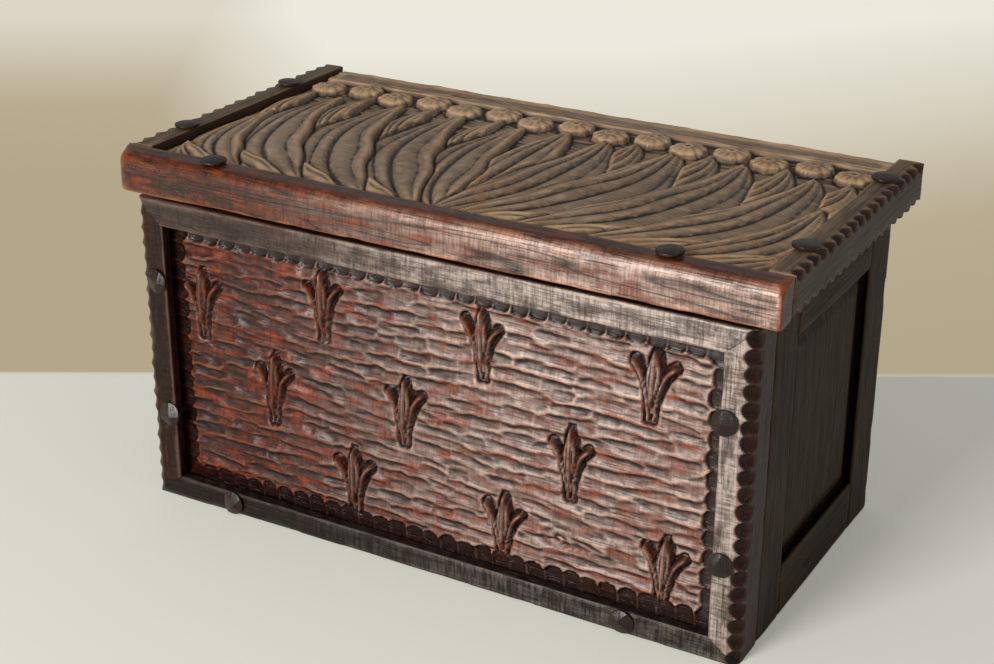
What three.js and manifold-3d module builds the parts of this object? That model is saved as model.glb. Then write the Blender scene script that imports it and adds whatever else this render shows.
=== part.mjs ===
// A small carved coffer chest in millimetres: framed front, sides and back, and a hinged lid.
// +Z is up, +X is to the right seen from the front, +Y is to the back.
// The origin is on the table, under the middle of the whole chest.
import * as THREE from "three";
import { mergeVertices } from "three/addons/utils/BufferGeometryUtils.js";
import Module from "manifold-3d";

const wasm = await Module();
wasm.setup();

// The whole chest
const lidLength = 343;
const lidDepth = 178.4;
const lidThickness = 19.8;
const lidSideOverhang = 10;
const lidFrontOverhang = 3;
const lidBackOverhang = 9.6;
const sideHeight = 163.8;
const frontDrop = 2.9;

// Fits: pieces that touch stay this far apart, and a cut passes its face by the overrun
const seatGap = 0.3;
const overrun = 2;

// Carved front: a mitred frame round a panel
const frontDepth = 21.5;
const stileWidth = 15.5;
const topRailHeight = 13;
const bottomRailHeight = 12;
const fieldRecess = 6;
const frontPanelThickness = 9;
const groundThickness = 3;
const frontGroove = 5;

// Framed sides
const sideThickness = 16;
const sideStileWidth = 26;
const sideTopRail = 24;
const sideBottomRail = 27;
const sidePanelThickness = 8;
const sidePanelRecess = 3;
const sideBevelWidth = 9;
const sideBevelDepth = 2.4;
const sideGroove = 5;
const tenonLength = 9;
const tenonThickness = 6;
const tenonShoulder = 4;

// Back and bottom boards
const backThickness = 12;
const backRebate = 8;
const bottomThickness = 11;
const bottomLift = 1;
const bottomTongue = 4;

// Lid
const nosingWidth = 14.3;
const nosingTopRound = 6.5;
const nosingBottomRound = 4;
const nosingEndRound = 7;
const nosingCornerRound = 2.3;
const battenWidth = 13.2;
const panelDrop = 5;
const tongueLength = 7;
const tongueThickness = 6;

// Scalloped arrises, cut with a gouge across the corner
const stileGouge = { pitch: 8, radius: 4.3, depth: 4.2 };
const battenGouge = { pitch: 9.2, radius: 3.5, depth: 3.4 };
const underGouge = { pitch: 9.2, radius: 3.2, depth: 2.2 };

// Hollows pressed into the ground with a gouge, all along the frame
const pocket = { pitch: 9.2, radius: 4.6, depth: 2.2, reach: 7.5 };

// Wooden pegs: the front's have faceted heads, the lid's have flat worn ones
const frontPeg = { head: 6, rim: 0.9, crown: 2.6, shank: 3, length: 40, sides: 10 };
const lidPeg = { head: 6.2, rim: 1.1, crown: 1.9, shank: 2.5, length: 16, sides: 12 };
const backPeg = { head: 3, rim: 0.2, crown: 0.4, shank: 2.4, length: 19, sides: 10 };

// Ground of the front: rows of long gouge strokes. Each row's line wanders up and down by its swing,
// once along the field, and each row starts its wave a bit later than the one below it.
const stroke = { pitch: 5.7, depth: 0.9, swing: 3.2, length: 24 };
const strokeTurn = 0.35;
const strokeEndShare = 0.45;

// A carved leaf or petal swells from its tip's share of the width to all of it, below the middle,
// and rises from its rise share to its full height
const tipShare = 0.1;
const riseShare = 0.5;
const swellPower = 0.85;
// Sections from the left edge to the right one: (share of half the width, share of the height)
const petalSectionShares = [[-1, 0.33], [0, 1], [1, 0.33]];
const foldSectionShares = [[-1, 0.15], [-0.5, 0.5], [0, 0.62], [0.6, 1], [1, 0.85]];
const evenSectionShares = [[-1, 0.6], [-0.5, 0.95], [0, 0.72], [0.5, 1], [1, 0.7]];

// Three-petal sprigs on the front, and how far their ridges stand out
const sprigHeight = 37;
const sprigSpread = 10.5;
const sprigRelief = 3;
const middlePetalShares = { width: 0.36, root: 0.12, bend: 0.5 };
const sidePetalShares = { width: 0.28, root: 0.1, out: 0.25, bend: 0.5, tip: 0.8 };

// Leaves and seed heads on the lid, with a plain band along the back
const leafRelief = 4;
const seedRadius = 9.2;
const seedRelief = 3.6;
// A seed head's domed profile: (share of the radius, share of the relief)
const seedProfileShares = [[1, 0.6], [0.6, 0.9], [0, 1]];
const bandWidth = 17;
const bandHeight = 2.4;
const rootSink = 1.5;

// Butt hinges of thin iron under the back overhang
const hingeLength = 32;
const hingeInset = 66;
const knuckleRadius = 2.2;
const knuckleShare = 0.36;
const pinRadius = 1.1;
const pinHeadRadius = 1.87;
const pinHeadDepth = 1.1;
const pinFit = 0.08;
const leafThickness = 1.2;
const bodyLeafHeight = 17;
const bodyScrewShare = 0.6;
const lidLeafReach = 12;
const screw = { head: 2.4, shank: 1.2, length: 9, sides: 10, slot: 0.6, spread: 9, sink: 1 };

// Places that follow from the sizes
const lidRight = lidLength / 2;
const lidFront = -lidDepth / 2;
const lidBack = lidDepth / 2;
const lidUnderside = sideHeight + seatGap;
const lidTop = lidUnderside + lidThickness;
const bodyRight = lidRight - lidSideOverhang;
const bodyFront = lidFront + lidFrontOverhang;
const bodyBack = lidBack - lidBackOverhang;
const frontHeight = sideHeight - frontDrop;
const frontBack = bodyFront + frontDepth;
const fieldRight = bodyRight - stileWidth;
const fieldTop = frontHeight - topRailHeight;
const fieldFace = bodyFront + fieldRecess;
const mitreGap = seatGap * Math.SQRT2;
const sideFront = frontBack + seatGap;
const innerRight = bodyRight - sideThickness;
const backFace = bodyBack - backThickness;
const bottomTop = bottomLift + bottomThickness;

// Directions
const right = new THREE.Vector3(1, 0, 0);
const back = new THREE.Vector3(0, 1, 0);
const up = new THREE.Vector3(0, 0, 1);
const left = right.clone().negate();
const front = back.clone().negate();
const down = up.clone().negate();

// Finishes
function wood(colour, roughness) {
  return new THREE.MeshStandardMaterial({ color: colour, roughness, metalness: 0 });
}
const darkOak = wood("#3a2a22", 0.5);
const redOak = wood("#5a2c24", 0.42);
const greyOak = wood("#55473c", 0.55);
const sideOak = wood("#2c2722", 0.6);
const plainOak = wood("#6b5138", 0.75);
const pegWood = wood("#4a3529", 0.35);
const iron = new THREE.MeshStandardMaterial({ color: "#2b2a29", roughness: 0.55, metalness: 0.9 });

// Solids: a closed three.js geometry becomes one that can be cut and joined
function solid(geometry) {
  const plain = geometry.clone();
  plain.deleteAttribute("normal");
  plain.deleteAttribute("uv");
  const merged = mergeVertices(plain);
  const corners = merged.index.array;
  const kept = [];
  for (let i = 0; i < corners.length; i += 3) {
    const [a, b, c] = corners.slice(i, i + 3);
    if (a !== b && b !== c && c !== a) {
      kept.push(a, b, c);
    }
  }
  return new wasm.Manifold(new wasm.Mesh({
    numProp: 3,
    vertProperties: new Float32Array(merged.attributes.position.array),
    triVerts: new Uint32Array(kept),
  }));
}

function geometryOf(body) {
  const mesh = body.getMesh();
  const geometry = new THREE.BufferGeometry();
  geometry.setAttribute("position", new THREE.BufferAttribute(new Float32Array(mesh.vertProperties), 3));
  geometry.setIndex(Array.from(mesh.triVerts));
  const faceted = geometry.toNonIndexed();
  faceted.computeVertexNormals();
  return faceted;
}

function block(x0, x1, y0, y1, z0, z1) {
  const shape = new THREE.BoxGeometry(Math.abs(x1 - x0), Math.abs(y1 - y0), Math.abs(z1 - z0));
  shape.translate((x0 + x1) / 2, (y0 + y1) / 2, (z0 + z1) / 2);
  return solid(shape);
}

// A flat shape drawn along two axes, carried square to them from a point
const arcSteps = 6;
function prism(shape, depth, across, along, at) {
  const body = new THREE.ExtrudeGeometry(shape, { depth, bevelEnabled: false, curveSegments: arcSteps });
  const basis = new THREE.Matrix4().makeBasis(across, along, across.clone().cross(along)).setPosition(at);
  body.applyMatrix4(basis);
  return solid(body);
}

// A turned piece: its profile is (radius, height along the axis), and it points along a direction
function turned(profile, sides, at, along) {
  const body = new THREE.LatheGeometry(profile.map(([r, h]) => new THREE.Vector2(r, h)), sides);
  const turn = new THREE.Quaternion().setFromUnitVectors(new THREE.Vector3(0, 1, 0), along);
  body.applyQuaternion(turn);
  body.translate(at.x, at.y, at.z);
  return solid(body);
}

function rod(radius, sides, from, to) {
  const along = to.clone().sub(from);
  const length = along.length();
  return turned([[0, 0], [radius, 0], [radius, length], [0, length]], sides, from, along.normalize());
}

// A skin through rings of points, closed at both ends
function loft(rings) {
  const count = rings[0].length;
  const points = rings.flat();
  const index = [];
  for (let ring = 0; ring < rings.length - 1; ring += 1) {
    for (let i = 0; i < count; i += 1) {
      const a = ring * count + i;
      const b = ring * count + (i + 1) % count;
      index.push(a, b, a + count, b, b + count, a + count);
    }
  }
  const last = (rings.length - 1) * count;
  for (let i = 1; i < count - 1; i += 1) {
    index.push(0, i + 1, i, last, last + i, last + i + 1);
  }
  const geometry = new THREE.BufferGeometry().setFromPoints(points);
  geometry.setIndex(index);
  return solid(geometry);
}

// Scallops: a round gouge crosses an arris between two faces, again and again from one end to the other
const gougeSides = 12;
function scallops(from, to, faceA, faceB, gouge) {
  const run = to.clone().sub(from);
  const count = Math.round(run.length() / gouge.pitch);
  const outward = faceA.clone().add(faceB).normalize();
  const across = faceA.clone().sub(faceB).normalize();
  const reach = across.multiplyScalar(gouge.depth + gouge.radius);
  const lift = outward.multiplyScalar(gouge.radius - gouge.depth);
  let cut = null;
  for (let i = 0; i < count; i += 1) {
    const middle = run.clone().multiplyScalar((i + 0.5) / count).add(from).add(lift);
    const tool = rod(gouge.radius, gougeSides, middle.clone().sub(reach), middle.clone().add(reach));
    cut = cut ? cut.add(tool) : tool;
  }
  return cut;
}

// Front pockets: a gouge pressed slanting into the ground against the frame
const pocketSides = 8;
function pocketRow(from, to, inward) {
  const run = to.clone().sub(from);
  const count = Math.floor(run.length() / pocket.pitch);
  const outOfFace = new THREE.Vector3(0, -1, 0);
  const slope = inward.clone().multiplyScalar(pocket.reach).addScaledVector(outOfFace, pocket.depth);
  const lift = pocket.radius - pocket.depth;
  let cut = null;
  for (let i = 0; i < count; i += 1) {
    const foot = run.clone().multiplyScalar((i + 0.5) / count).add(from).addScaledVector(outOfFace, lift);
    const tool = rod(pocket.radius, pocketSides, foot.clone().sub(slope), foot.clone().add(slope).add(slope));
    cut = cut ? cut.add(tool) : tool;
  }
  return cut;
}

// A carved leaf or petal: its section is drawn along a curve, widest and highest part way up.
// place turns (along the panel, up the panel, out of the panel) into a point of the chest.
const leafSteps = 7;
const petalSteps = 5;
function leaf(curve, steps, halfWidth, relief, sectionShares, place) {
  const rings = [];
  for (let step = 0; step <= steps; step += 1) {
    const t = step / steps;
    const wave = Math.sin(Math.PI * Math.pow(t, swellPower));
    const swell = tipShare + (1 - tipShare) * Math.pow(Math.max(wave, 0), swellPower);
    const height = relief * (riseShare + (1 - riseShare) * swell);
    const middle = curve.getPoint(t);
    const aside = curve.getTangent(t);
    aside.set(aside.y, -aside.x).multiplyScalar(halfWidth * swell);
    const at = (acrossShare, out) => {
      const point = middle.clone().addScaledVector(aside, acrossShare);
      return place(point.x, point.y, out);
    };
    const skin = sectionShares.map(([acrossShare, heightShare]) => at(acrossShare, height * heightShare));
    const firstShare = sectionShares[0][0];
    const lastShare = sectionShares[sectionShares.length - 1][0];
    rings.push([at(firstShare, -rootSink), ...skin, at(lastShare, -rootSink)]);
  }
  return loft(rings);
}

// The same section seen in a mirror
function mirrored(sectionShares) {
  return sectionShares.map(([acrossShare, heightShare]) => [-acrossShare, heightShare]).reverse();
}

function bend(x0, y0, x1, y1, x2, y2) {
  return new THREE.QuadraticBezierCurve(
    new THREE.Vector2(x0, y0), new THREE.Vector2(x1, y1), new THREE.Vector2(x2, y2));
}

// The chest and its lid, each a group of named pieces
const box = new THREE.Group();
const lid = new THREE.Group();
function piece(group, name, body, material) {
  const mesh = new THREE.Mesh(geometryOf(body), material);
  mesh.name = name;
  group.add(mesh);
}

// Pegs: the head stands a seat gap off the face, and the shank runs into the wood
function pegProfile(peg) {
  const shoulder = (peg.head + peg.shank) / 2;
  return [
    [0, -peg.length],
    [peg.shank, -peg.length],
    [peg.shank, seatGap],
    [peg.head, seatGap],
    [peg.head, seatGap + peg.rim],
    [shoulder, seatGap + (peg.rim + peg.crown) / 2],
    [0, seatGap + peg.crown],
  ];
}
function pegAt(peg, at, outward) {
  return turned(pegProfile(peg), peg.sides, at, outward);
}
function pegHole(peg, at, outward) {
  const start = at.clone().addScaledVector(outward, overrun);
  const end = at.clone().addScaledVector(outward, -peg.length - seatGap);
  return rod(peg.shank + seatGap, peg.sides, start, end);
}

// A set of pegs driven into one face, and all their holes
function drivePegs(group, peg, outward, places) {
  let holes = null;
  for (const { name, at } of places) {
    piece(group, name, pegAt(peg, at, outward), pegWood);
    const hole = pegHole(peg, at, outward);
    holes = holes ? holes.add(hole) : hole;
  }
  return holes;
}

// Front pegs: two in each stile, placed by hand, and two through the bottom rail
const stilePegShares = [
  { name: "front_peg_left_upper", side: -1, inset: 0.645, height: 0.74 },
  { name: "front_peg_left_lower", side: -1, inset: 0.774, height: 0.295 },
  { name: "front_peg_right_upper", side: 1, inset: 0.806, height: 0.73 },
  { name: "front_peg_right_lower", side: 1, inset: 0.71, height: 0.308 },
];
const railPegShares = [
  { name: "bottom_peg_left", across: -0.697 },
  { name: "bottom_peg_right", across: 0.65 },
];
const frontHoles = drivePegs(box, frontPeg, front, [
  ...stilePegShares.map(({ name, side, inset, height }) => ({
    name, at: new THREE.Vector3(side * (bodyRight - inset * stileWidth), bodyFront, height * frontHeight),
  })),
  ...railPegShares.map(({ name, across }) => ({
    name, at: new THREE.Vector3(across * bodyRight, bodyFront, (bottomLift + bottomTop) / 2),
  })),
]);

// Front frame
const arrisRight = scallops(
  new THREE.Vector3(bodyRight, bodyFront, 0), new THREE.Vector3(bodyRight, bodyFront, frontHeight),
  front, right, stileGouge);
const arrisLeft = scallops(
  new THREE.Vector3(-bodyRight, bodyFront, 0), new THREE.Vector3(-bodyRight, bodyFront, frontHeight),
  front, left, stileGouge);
const panelSpace = block(
  -fieldRight - frontGroove, fieldRight + frontGroove,
  fieldFace - seatGap, fieldFace + frontPanelThickness + seatGap,
  bottomRailHeight - frontGroove, fieldTop + frontGroove);
function frontMember(outline) {
  const shape = new THREE.Shape(outline.map(([x, z]) => new THREE.Vector2(x, z)));
  return prism(shape, frontDepth, right, up, new THREE.Vector3(0, frontBack, 0))
    .subtract(arrisRight).subtract(arrisLeft).subtract(panelSpace).subtract(frontHoles);
}
for (const [name, side] of [["front_left_stile", -1], ["front_right_stile", 1]]) {
  const stile = [
    [side * bodyRight, mitreGap],
    [side * fieldRight, bottomRailHeight + mitreGap],
    [side * fieldRight, fieldTop - mitreGap],
    [side * bodyRight, frontHeight - mitreGap],
  ];
  piece(box, name, frontMember(stile), darkOak);
}
piece(box, "front_bottom_rail", frontMember([
  [-bodyRight, 0], [bodyRight, 0], [fieldRight, bottomRailHeight], [-fieldRight, bottomRailHeight],
]), darkOak);
piece(box, "front_top_rail", frontMember([
  [-fieldRight, fieldTop], [fieldRight, fieldTop], [bodyRight, frontHeight], [-bodyRight, frontHeight],
]), darkOak);

// Ground of the front panel: a slab whose face has a crest between every two rows of strokes.
// Its rings stand square to the length, from right to left, and its rim lies sunk in the panel.
const fieldHeight = fieldTop - bottomRailHeight;
const strokeRows = Math.round(fieldHeight / stroke.pitch);
const strokeSteps = Math.round(2 * fieldRight / stroke.length);
const groundFace = fieldFace + groundThickness;
const groundBack = groundFace + overrun;
function crestHeight(row, x) {
  const share = row / strokeRows;
  const wave = Math.sin(Math.PI * x / fieldRight + row * strokeTurn);
  return bottomRailHeight + fieldHeight * share + stroke.swing * Math.sin(Math.PI * share) * wave;
}
function groundRing(x, crestFace, troughFace) {
  const ring = [[groundBack, bottomRailHeight - overrun], [groundFace, bottomRailHeight - overrun]];
  for (let row = 0; row < strokeRows; row += 1) {
    const low = crestHeight(row, x);
    const high = crestHeight(row + 1, x);
    ring.push([crestFace, low], [troughFace(row), (low + high) / 2]);
  }
  ring.push([crestFace, fieldTop], [groundFace, fieldTop + overrun], [groundBack, fieldTop + overrun]);
  return ring.map(([y, z]) => new THREE.Vector3(x, y, z));
}
const sunkRing = (x) => groundRing(x, groundFace, () => groundFace);
const groundRings = [sunkRing(fieldRight + overrun)];
for (let step = 0; step <= strokeSteps; step += 1) {
  const x = fieldRight * (1 - 2 * step / strokeSteps);
  const troughFace = (row) => fieldFace + stroke.depth * ((step + row) % 2 ? 1 : strokeEndShare);
  groundRings.push(groundRing(x, fieldFace, troughFace));
}
groundRings.push(sunkRing(-fieldRight - overrun));

// Front panel, with its pockets and its ten sprigs
const panelReach = frontGroove - seatGap;
const fieldCorner = (side, z) => new THREE.Vector3(side * fieldRight, fieldFace, z);
let frontPanel = block(
  -fieldRight - panelReach, fieldRight + panelReach, fieldFace, fieldFace + frontPanelThickness,
  bottomRailHeight - panelReach, fieldTop + panelReach)
  .subtract(block(-fieldRight, fieldRight, fieldFace - overrun, groundFace, bottomRailHeight, fieldTop))
  .add(loft(groundRings));
frontPanel = frontPanel
  .subtract(pocketRow(fieldCorner(-1, fieldTop), fieldCorner(1, fieldTop), down))
  .subtract(pocketRow(fieldCorner(-1, bottomRailHeight), fieldCorner(1, bottomRailHeight), up))
  .subtract(pocketRow(fieldCorner(-1, bottomRailHeight), fieldCorner(-1, fieldTop), right))
  .subtract(pocketRow(fieldCorner(1, bottomRailHeight), fieldCorner(1, fieldTop), left));
// Each sprig's foot, as shares of the field's width and height
const sprigShares = [
  [0.057, 0.586], [0.302, 0.686], [0.598, 0.686], [0.882, 0.686], [0.195, 0.312],
  [0.452, 0.364], [0.753, 0.327], [0.355, 0.035], [0.634, 0.02], [0.912, 0.02],
];
for (const [acrossShare, upShare] of sprigShares) {
  const footX = fieldRight * (2 * acrossShare - 1);
  const footZ = bottomRailHeight + fieldHeight * upShare;
  const place = (x, z, out) => new THREE.Vector3(footX + x, fieldFace - out, footZ + z);
  const middle = bend(
    0, sprigHeight * middlePetalShares.root, 0, sprigHeight * middlePetalShares.bend, 0, sprigHeight);
  const halfWidth = sprigSpread * middlePetalShares.width;
  const petals = [leaf(middle, petalSteps, halfWidth, sprigRelief, petalSectionShares, place)];
  for (const side of [-1, 1]) {
    const curve = bend(
      side * sprigSpread * sidePetalShares.root, 0,
      side * sprigSpread * sidePetalShares.out, sprigHeight * sidePetalShares.bend,
      side * sprigSpread, sprigHeight * sidePetalShares.tip);
    const sideWidth = sprigSpread * sidePetalShares.width;
    petals.push(leaf(curve, petalSteps, sideWidth, sprigRelief, petalSectionShares, place));
  }
  for (const petal of petals) {
    frontPanel = frontPanel.add(petal);
  }
}
piece(box, "front_panel", frontPanel.subtract(frontHoles), redOak);

// Back pegs, driven from behind through the back board into the back stiles
const backPegX = innerRight + backRebate / 2;
const backPegHigh = sideHeight - sideTopRail;
const backHoles = drivePegs(box, backPeg, back, [
  { name: "back_peg_left_upper", at: new THREE.Vector3(-backPegX, bodyBack, backPegHigh) },
  { name: "back_peg_left_lower", at: new THREE.Vector3(-backPegX, bodyBack, sideBottomRail) },
  { name: "back_peg_right_upper", at: new THREE.Vector3(backPegX, bodyBack, backPegHigh) },
  { name: "back_peg_right_lower", at: new THREE.Vector3(backPegX, bodyBack, sideBottomRail) },
]);

// Sides: two stiles and two rails round a fielded panel, with a groove for the bottom board
const sideBack = bodyBack;
const railFront = sideFront + sideStileWidth;
const railBack = sideBack - sideStileWidth;
const sideRailTop = sideHeight - sideTopRail;
const bottomGroove = block(
  -innerRight - bottomTongue, innerRight + bottomTongue, sideFront - overrun, backFace + bottomTongue,
  bottomLift - seatGap, bottomTop + seatGap);
const rebate = block(
  -innerRight - backRebate, innerRight + backRebate, backFace - seatGap, bodyBack + overrun,
  -overrun, sideHeight + overrun);
for (const [word, side] of [["left", -1], ["right", 1]]) {
  const outer = side * bodyRight;
  const inner = side * innerRight;
  const panelOuter = outer - side * sidePanelRecess;
  const panelInner = panelOuter - side * sidePanelThickness;
  const tenonOuter = outer - side * (sideThickness + tenonThickness) / 2;
  const tenonInner = tenonOuter + side * tenonThickness;
  const panelRoom = block(
    panelOuter + side * seatGap, panelInner - side * seatGap, railFront - sideGroove, railBack + sideGroove,
    sideBottomRail - sideGroove, sideRailTop + sideGroove);
  const member = (y0, y1, z0, z1) => block(outer, inner, y0, y1, z0, z1)
    .subtract(panelRoom).subtract(bottomGroove).subtract(rebate).subtract(frontHoles).subtract(backHoles);
  const mortise = (z0, z1) => block(
    tenonOuter - side * seatGap, tenonInner + side * seatGap,
    railFront - tenonLength - seatGap, railBack + tenonLength + seatGap, z0 - seatGap, z1 + seatGap);
  const topTenon = [sideRailTop + tenonShoulder, sideHeight - tenonShoulder];
  const bottomTenon = [bottomTop + tenonShoulder, sideBottomRail - tenonShoulder];
  const stile = (y0, y1) => member(y0, y1, 0, sideHeight)
    .subtract(mortise(...topTenon)).subtract(mortise(...bottomTenon));
  const rail = (z0, z1, tenon) => block(outer, inner, railFront + seatGap, railBack - seatGap, z0, z1)
    .add(block(tenonOuter, tenonInner, railFront - tenonLength, railBack + tenonLength, ...tenon))
    .subtract(panelRoom).subtract(bottomGroove);
  piece(box, `${word}_side_front_stile`, stile(sideFront, railFront), sideOak);
  piece(box, `${word}_side_back_stile`, stile(railBack, sideBack), sideOak);
  piece(box, `${word}_side_top_rail`, rail(sideRailTop, sideHeight, topTenon), sideOak);
  piece(box, `${word}_side_bottom_rail`, rail(0, sideBottomRail, bottomTenon), sideOak);

  // The field of the panel stands proud of a slanted border
  const reach = sideGroove - seatGap;
  const step = (inset, x) => [
    new THREE.Vector3(x, railFront + inset, sideBottomRail + inset),
    new THREE.Vector3(x, railBack - inset, sideBottomRail + inset),
    new THREE.Vector3(x, railBack - inset, sideRailTop - inset),
    new THREE.Vector3(x, railFront + inset, sideRailTop - inset),
  ];
  const border = panelOuter - side * sideBevelDepth;
  const rings = [
    step(-reach, panelInner), step(-reach, border), step(0, border), step(sideBevelWidth, panelOuter),
  ];
  const panel = loft(side > 0 ? rings : rings.map((ring) => ring.reverse()));
  piece(box, `${word}_side_panel`, panel.subtract(frontHoles), sideOak);
}

// Back board in the side frames' rebates, pegged from behind, with notches for the hinges
const hingeX = lidRight - hingeInset;
const axisY = bodyBack + seatGap + knuckleRadius;
const axisZ = sideHeight - knuckleRadius;
const boardRight = innerRight + backRebate - seatGap;
let backBoard = block(-boardRight, boardRight, backFace, bodyBack, 0, sideHeight)
  .subtract(bottomGroove).subtract(backHoles);

// Hinges: one leaf stands on the back board, the other lies under the lid in a notch of the back board
const leafHalf = hingeLength / 2;
const knuckleHalf = hingeLength * knuckleShare / 2;
const hingeSides = 16;
function knuckle(x, from, to, radius) {
  const start = new THREE.Vector3(x + from, axisY, axisZ);
  const end = new THREE.Vector3(x + to, axisY, axisZ);
  return rod(radius, hingeSides, start, end);
}
// A countersunk screw, and the room for it in a leaf and in the wood
function screwAt(at, outward) {
  const profile = [
    [0, -screw.length], [screw.shank, -screw.length], [screw.shank, -screw.sink], [screw.head, 0], [0, 0],
  ];
  const across = right.clone().multiplyScalar(screw.head + overrun);
  const half = screw.slot / 2;
  const depth = outward.clone().multiplyScalar(screw.slot);
  const corner = at.clone().sub(depth);
  const along = outward.clone().cross(right).multiplyScalar(half);
  const low = corner.clone().sub(across).sub(along);
  const high = at.clone().addScaledVector(outward, overrun).add(across).add(along);
  const slot = block(low.x, high.x, low.y, high.y, low.z, high.z);
  return turned(profile, screw.sides, at, outward).subtract(slot);
}
function screwRoom(at, outward) {
  const shank = screw.shank + seatGap;
  const head = screw.head + seatGap;
  const end = -screw.length - seatGap;
  return turned([[0, end], [shank, end], [shank, -screw.sink], [head, 0], [head, overrun], [0, overrun]],
    screw.sides, at, outward);
}

let panelHoles = null;
for (const [word, x] of [["left", -hingeX], ["right", hingeX]]) {
  const pinEnd = leafHalf + seatGap;
  const bore = knuckle(x, -pinEnd - overrun, pinEnd + overrun, pinRadius + pinFit);
  const innerRoom = block(x - knuckleHalf - seatGap, x + knuckleHalf + seatGap,
    bodyBack, axisY + knuckleRadius + seatGap, axisZ - knuckleRadius - seatGap, sideHeight + overrun);
  const pinTip = pinEnd + pinHeadDepth;
  piece(box, `hinge_pin_${word}`, turned([
    [0, -pinTip], [pinHeadRadius, -pinTip], [pinHeadRadius, -pinEnd], [pinRadius, -pinEnd],
    [pinRadius, pinEnd], [pinHeadRadius, pinEnd], [pinHeadRadius, pinTip], [0, pinTip],
  ], hingeSides, new THREE.Vector3(x, axisY, axisZ), right), iron);

  let bodyLeaf = block(x - leafHalf, x + leafHalf, bodyBack + seatGap, bodyBack + seatGap + leafThickness,
    axisZ - bodyLeafHeight, axisZ)
    .subtract(innerRoom)
    .add(knuckle(x, -leafHalf, -knuckleHalf - seatGap, knuckleRadius))
    .add(knuckle(x, knuckleHalf + seatGap, leafHalf, knuckleRadius))
    .subtract(bore);
  const lidLeafFront = axisY - lidLeafReach;
  const lidLeafBottom = sideHeight - leafThickness;
  let lidLeaf = block(x - leafHalf, x + leafHalf, lidLeafFront, axisY, lidLeafBottom, sideHeight);
  for (const side of [-1, 1]) {
    lidLeaf = lidLeaf.subtract(block(
      x + side * (knuckleHalf - seatGap), x + side * (leafHalf + overrun),
      bodyBack, axisY + overrun, axisZ - overrun, sideHeight + overrun));
  }
  lidLeaf = lidLeaf
    .add(knuckle(x, -knuckleHalf + seatGap, knuckleHalf - seatGap, knuckleRadius))
    .subtract(bore);

  for (const [place, side] of [["inner", -Math.sign(x)], ["outer", Math.sign(x)]]) {
    const screwX = x + side * screw.spread;
    const boardScrew = new THREE.Vector3(
      screwX, bodyBack + seatGap + leafThickness, axisZ - bodyLeafHeight * bodyScrewShare);
    piece(box, `hinge_screw_${word}_body_${place}`, screwAt(boardScrew, back), iron);
    bodyLeaf = bodyLeaf.subtract(screwRoom(boardScrew, back));
    backBoard = backBoard.subtract(screwRoom(boardScrew, back));
    const lidScrew = new THREE.Vector3(screwX, (lidLeafFront + bodyBack) / 2, lidLeafBottom);
    piece(lid, `hinge_screw_${word}_lid_${place}`, screwAt(lidScrew, down), iron);
    lidLeaf = lidLeaf.subtract(screwRoom(lidScrew, down));
    const room = screwRoom(lidScrew, down);
    panelHoles = panelHoles ? panelHoles.add(room) : room;
  }
  backBoard = backBoard.subtract(block(
    x - leafHalf - seatGap, x + leafHalf + seatGap, lidLeafFront - seatGap, bodyBack + overrun,
    lidLeafBottom - seatGap, sideHeight + overrun));
  piece(box, `hinge_${word}_body_leaf`, bodyLeaf, iron);
  piece(lid, `hinge_${word}_lid_leaf`, lidLeaf, iron);
}
piece(box, "back_board", backBoard, plainOak);

// Bottom board, held in grooves on three sides and pegged through the front rail
const boardReach = innerRight + bottomTongue - seatGap;
piece(box, "bottom_board", block(
  -boardReach, boardReach, sideFront, backFace + bottomTongue - seatGap, bottomLift, bottomTop,
).subtract(frontHoles), plainOak);

// Lid pegs: two in each batten and two in the nosing, placed by hand
const battenPegShare = 0.644;
const battenPegShares = [
  { name: "lid_peg_left_front", side: -1, back: 0.266 },
  { name: "lid_peg_left_back", side: -1, back: 0.751 },
  { name: "lid_peg_right_front", side: 1, back: 0.258 },
  { name: "lid_peg_right_back", side: 1, back: 0.813 },
];
const nosingPegShares = [
  { name: "lid_peg_nosing_left", across: -0.682, back: 0.65 },
  { name: "lid_peg_nosing_right", across: 0.682, back: 0.8 },
];
const lidHoles = drivePegs(lid, lidPeg, up, [
  ...battenPegShares.map((peg) => ({
    name: peg.name,
    at: new THREE.Vector3(
      peg.side * (lidRight - battenPegShare * battenWidth), lidFront + peg.back * lidDepth, lidTop),
  })),
  ...nosingPegShares.map((peg) => ({
    name: peg.name,
    at: new THREE.Vector3(peg.across * lidRight, lidFront + peg.back * nosingWidth, lidTop),
  })),
]);

// Nosing along the front of the lid
const nosingBack = lidFront + nosingWidth;
const tongueLow = lidUnderside + (lidThickness - panelDrop - tongueThickness) / 2;
const tongueHigh = tongueLow + tongueThickness;
const battenInner = lidRight - battenWidth;
const tongueRoom = block(
  -battenInner - tongueLength - seatGap, battenInner + tongueLength + seatGap,
  nosingBack - tongueLength, lidBack + overrun, tongueLow - seatGap, tongueHigh + seatGap);
const section = new THREE.Shape();
section.moveTo(nosingBack, lidUnderside);
section.lineTo(nosingBack, lidTop);
section.lineTo(lidFront + nosingTopRound, lidTop);
section.absarc(lidFront + nosingTopRound, lidTop - nosingTopRound, nosingTopRound, Math.PI / 2, Math.PI);
section.absarc(lidFront + nosingBottomRound, lidUnderside + nosingBottomRound, nosingBottomRound,
  Math.PI, Math.PI * 1.5);
const plan = new THREE.Shape();
plan.moveTo(lidRight, nosingBack);
plan.lineTo(-lidRight, nosingBack);
plan.absarc(-lidRight + nosingEndRound, lidFront + nosingEndRound, nosingEndRound, Math.PI, Math.PI * 1.5);
plan.absarc(lidRight - nosingCornerRound, lidFront + nosingCornerRound, nosingCornerRound,
  Math.PI * 1.5, Math.PI * 2);
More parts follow.
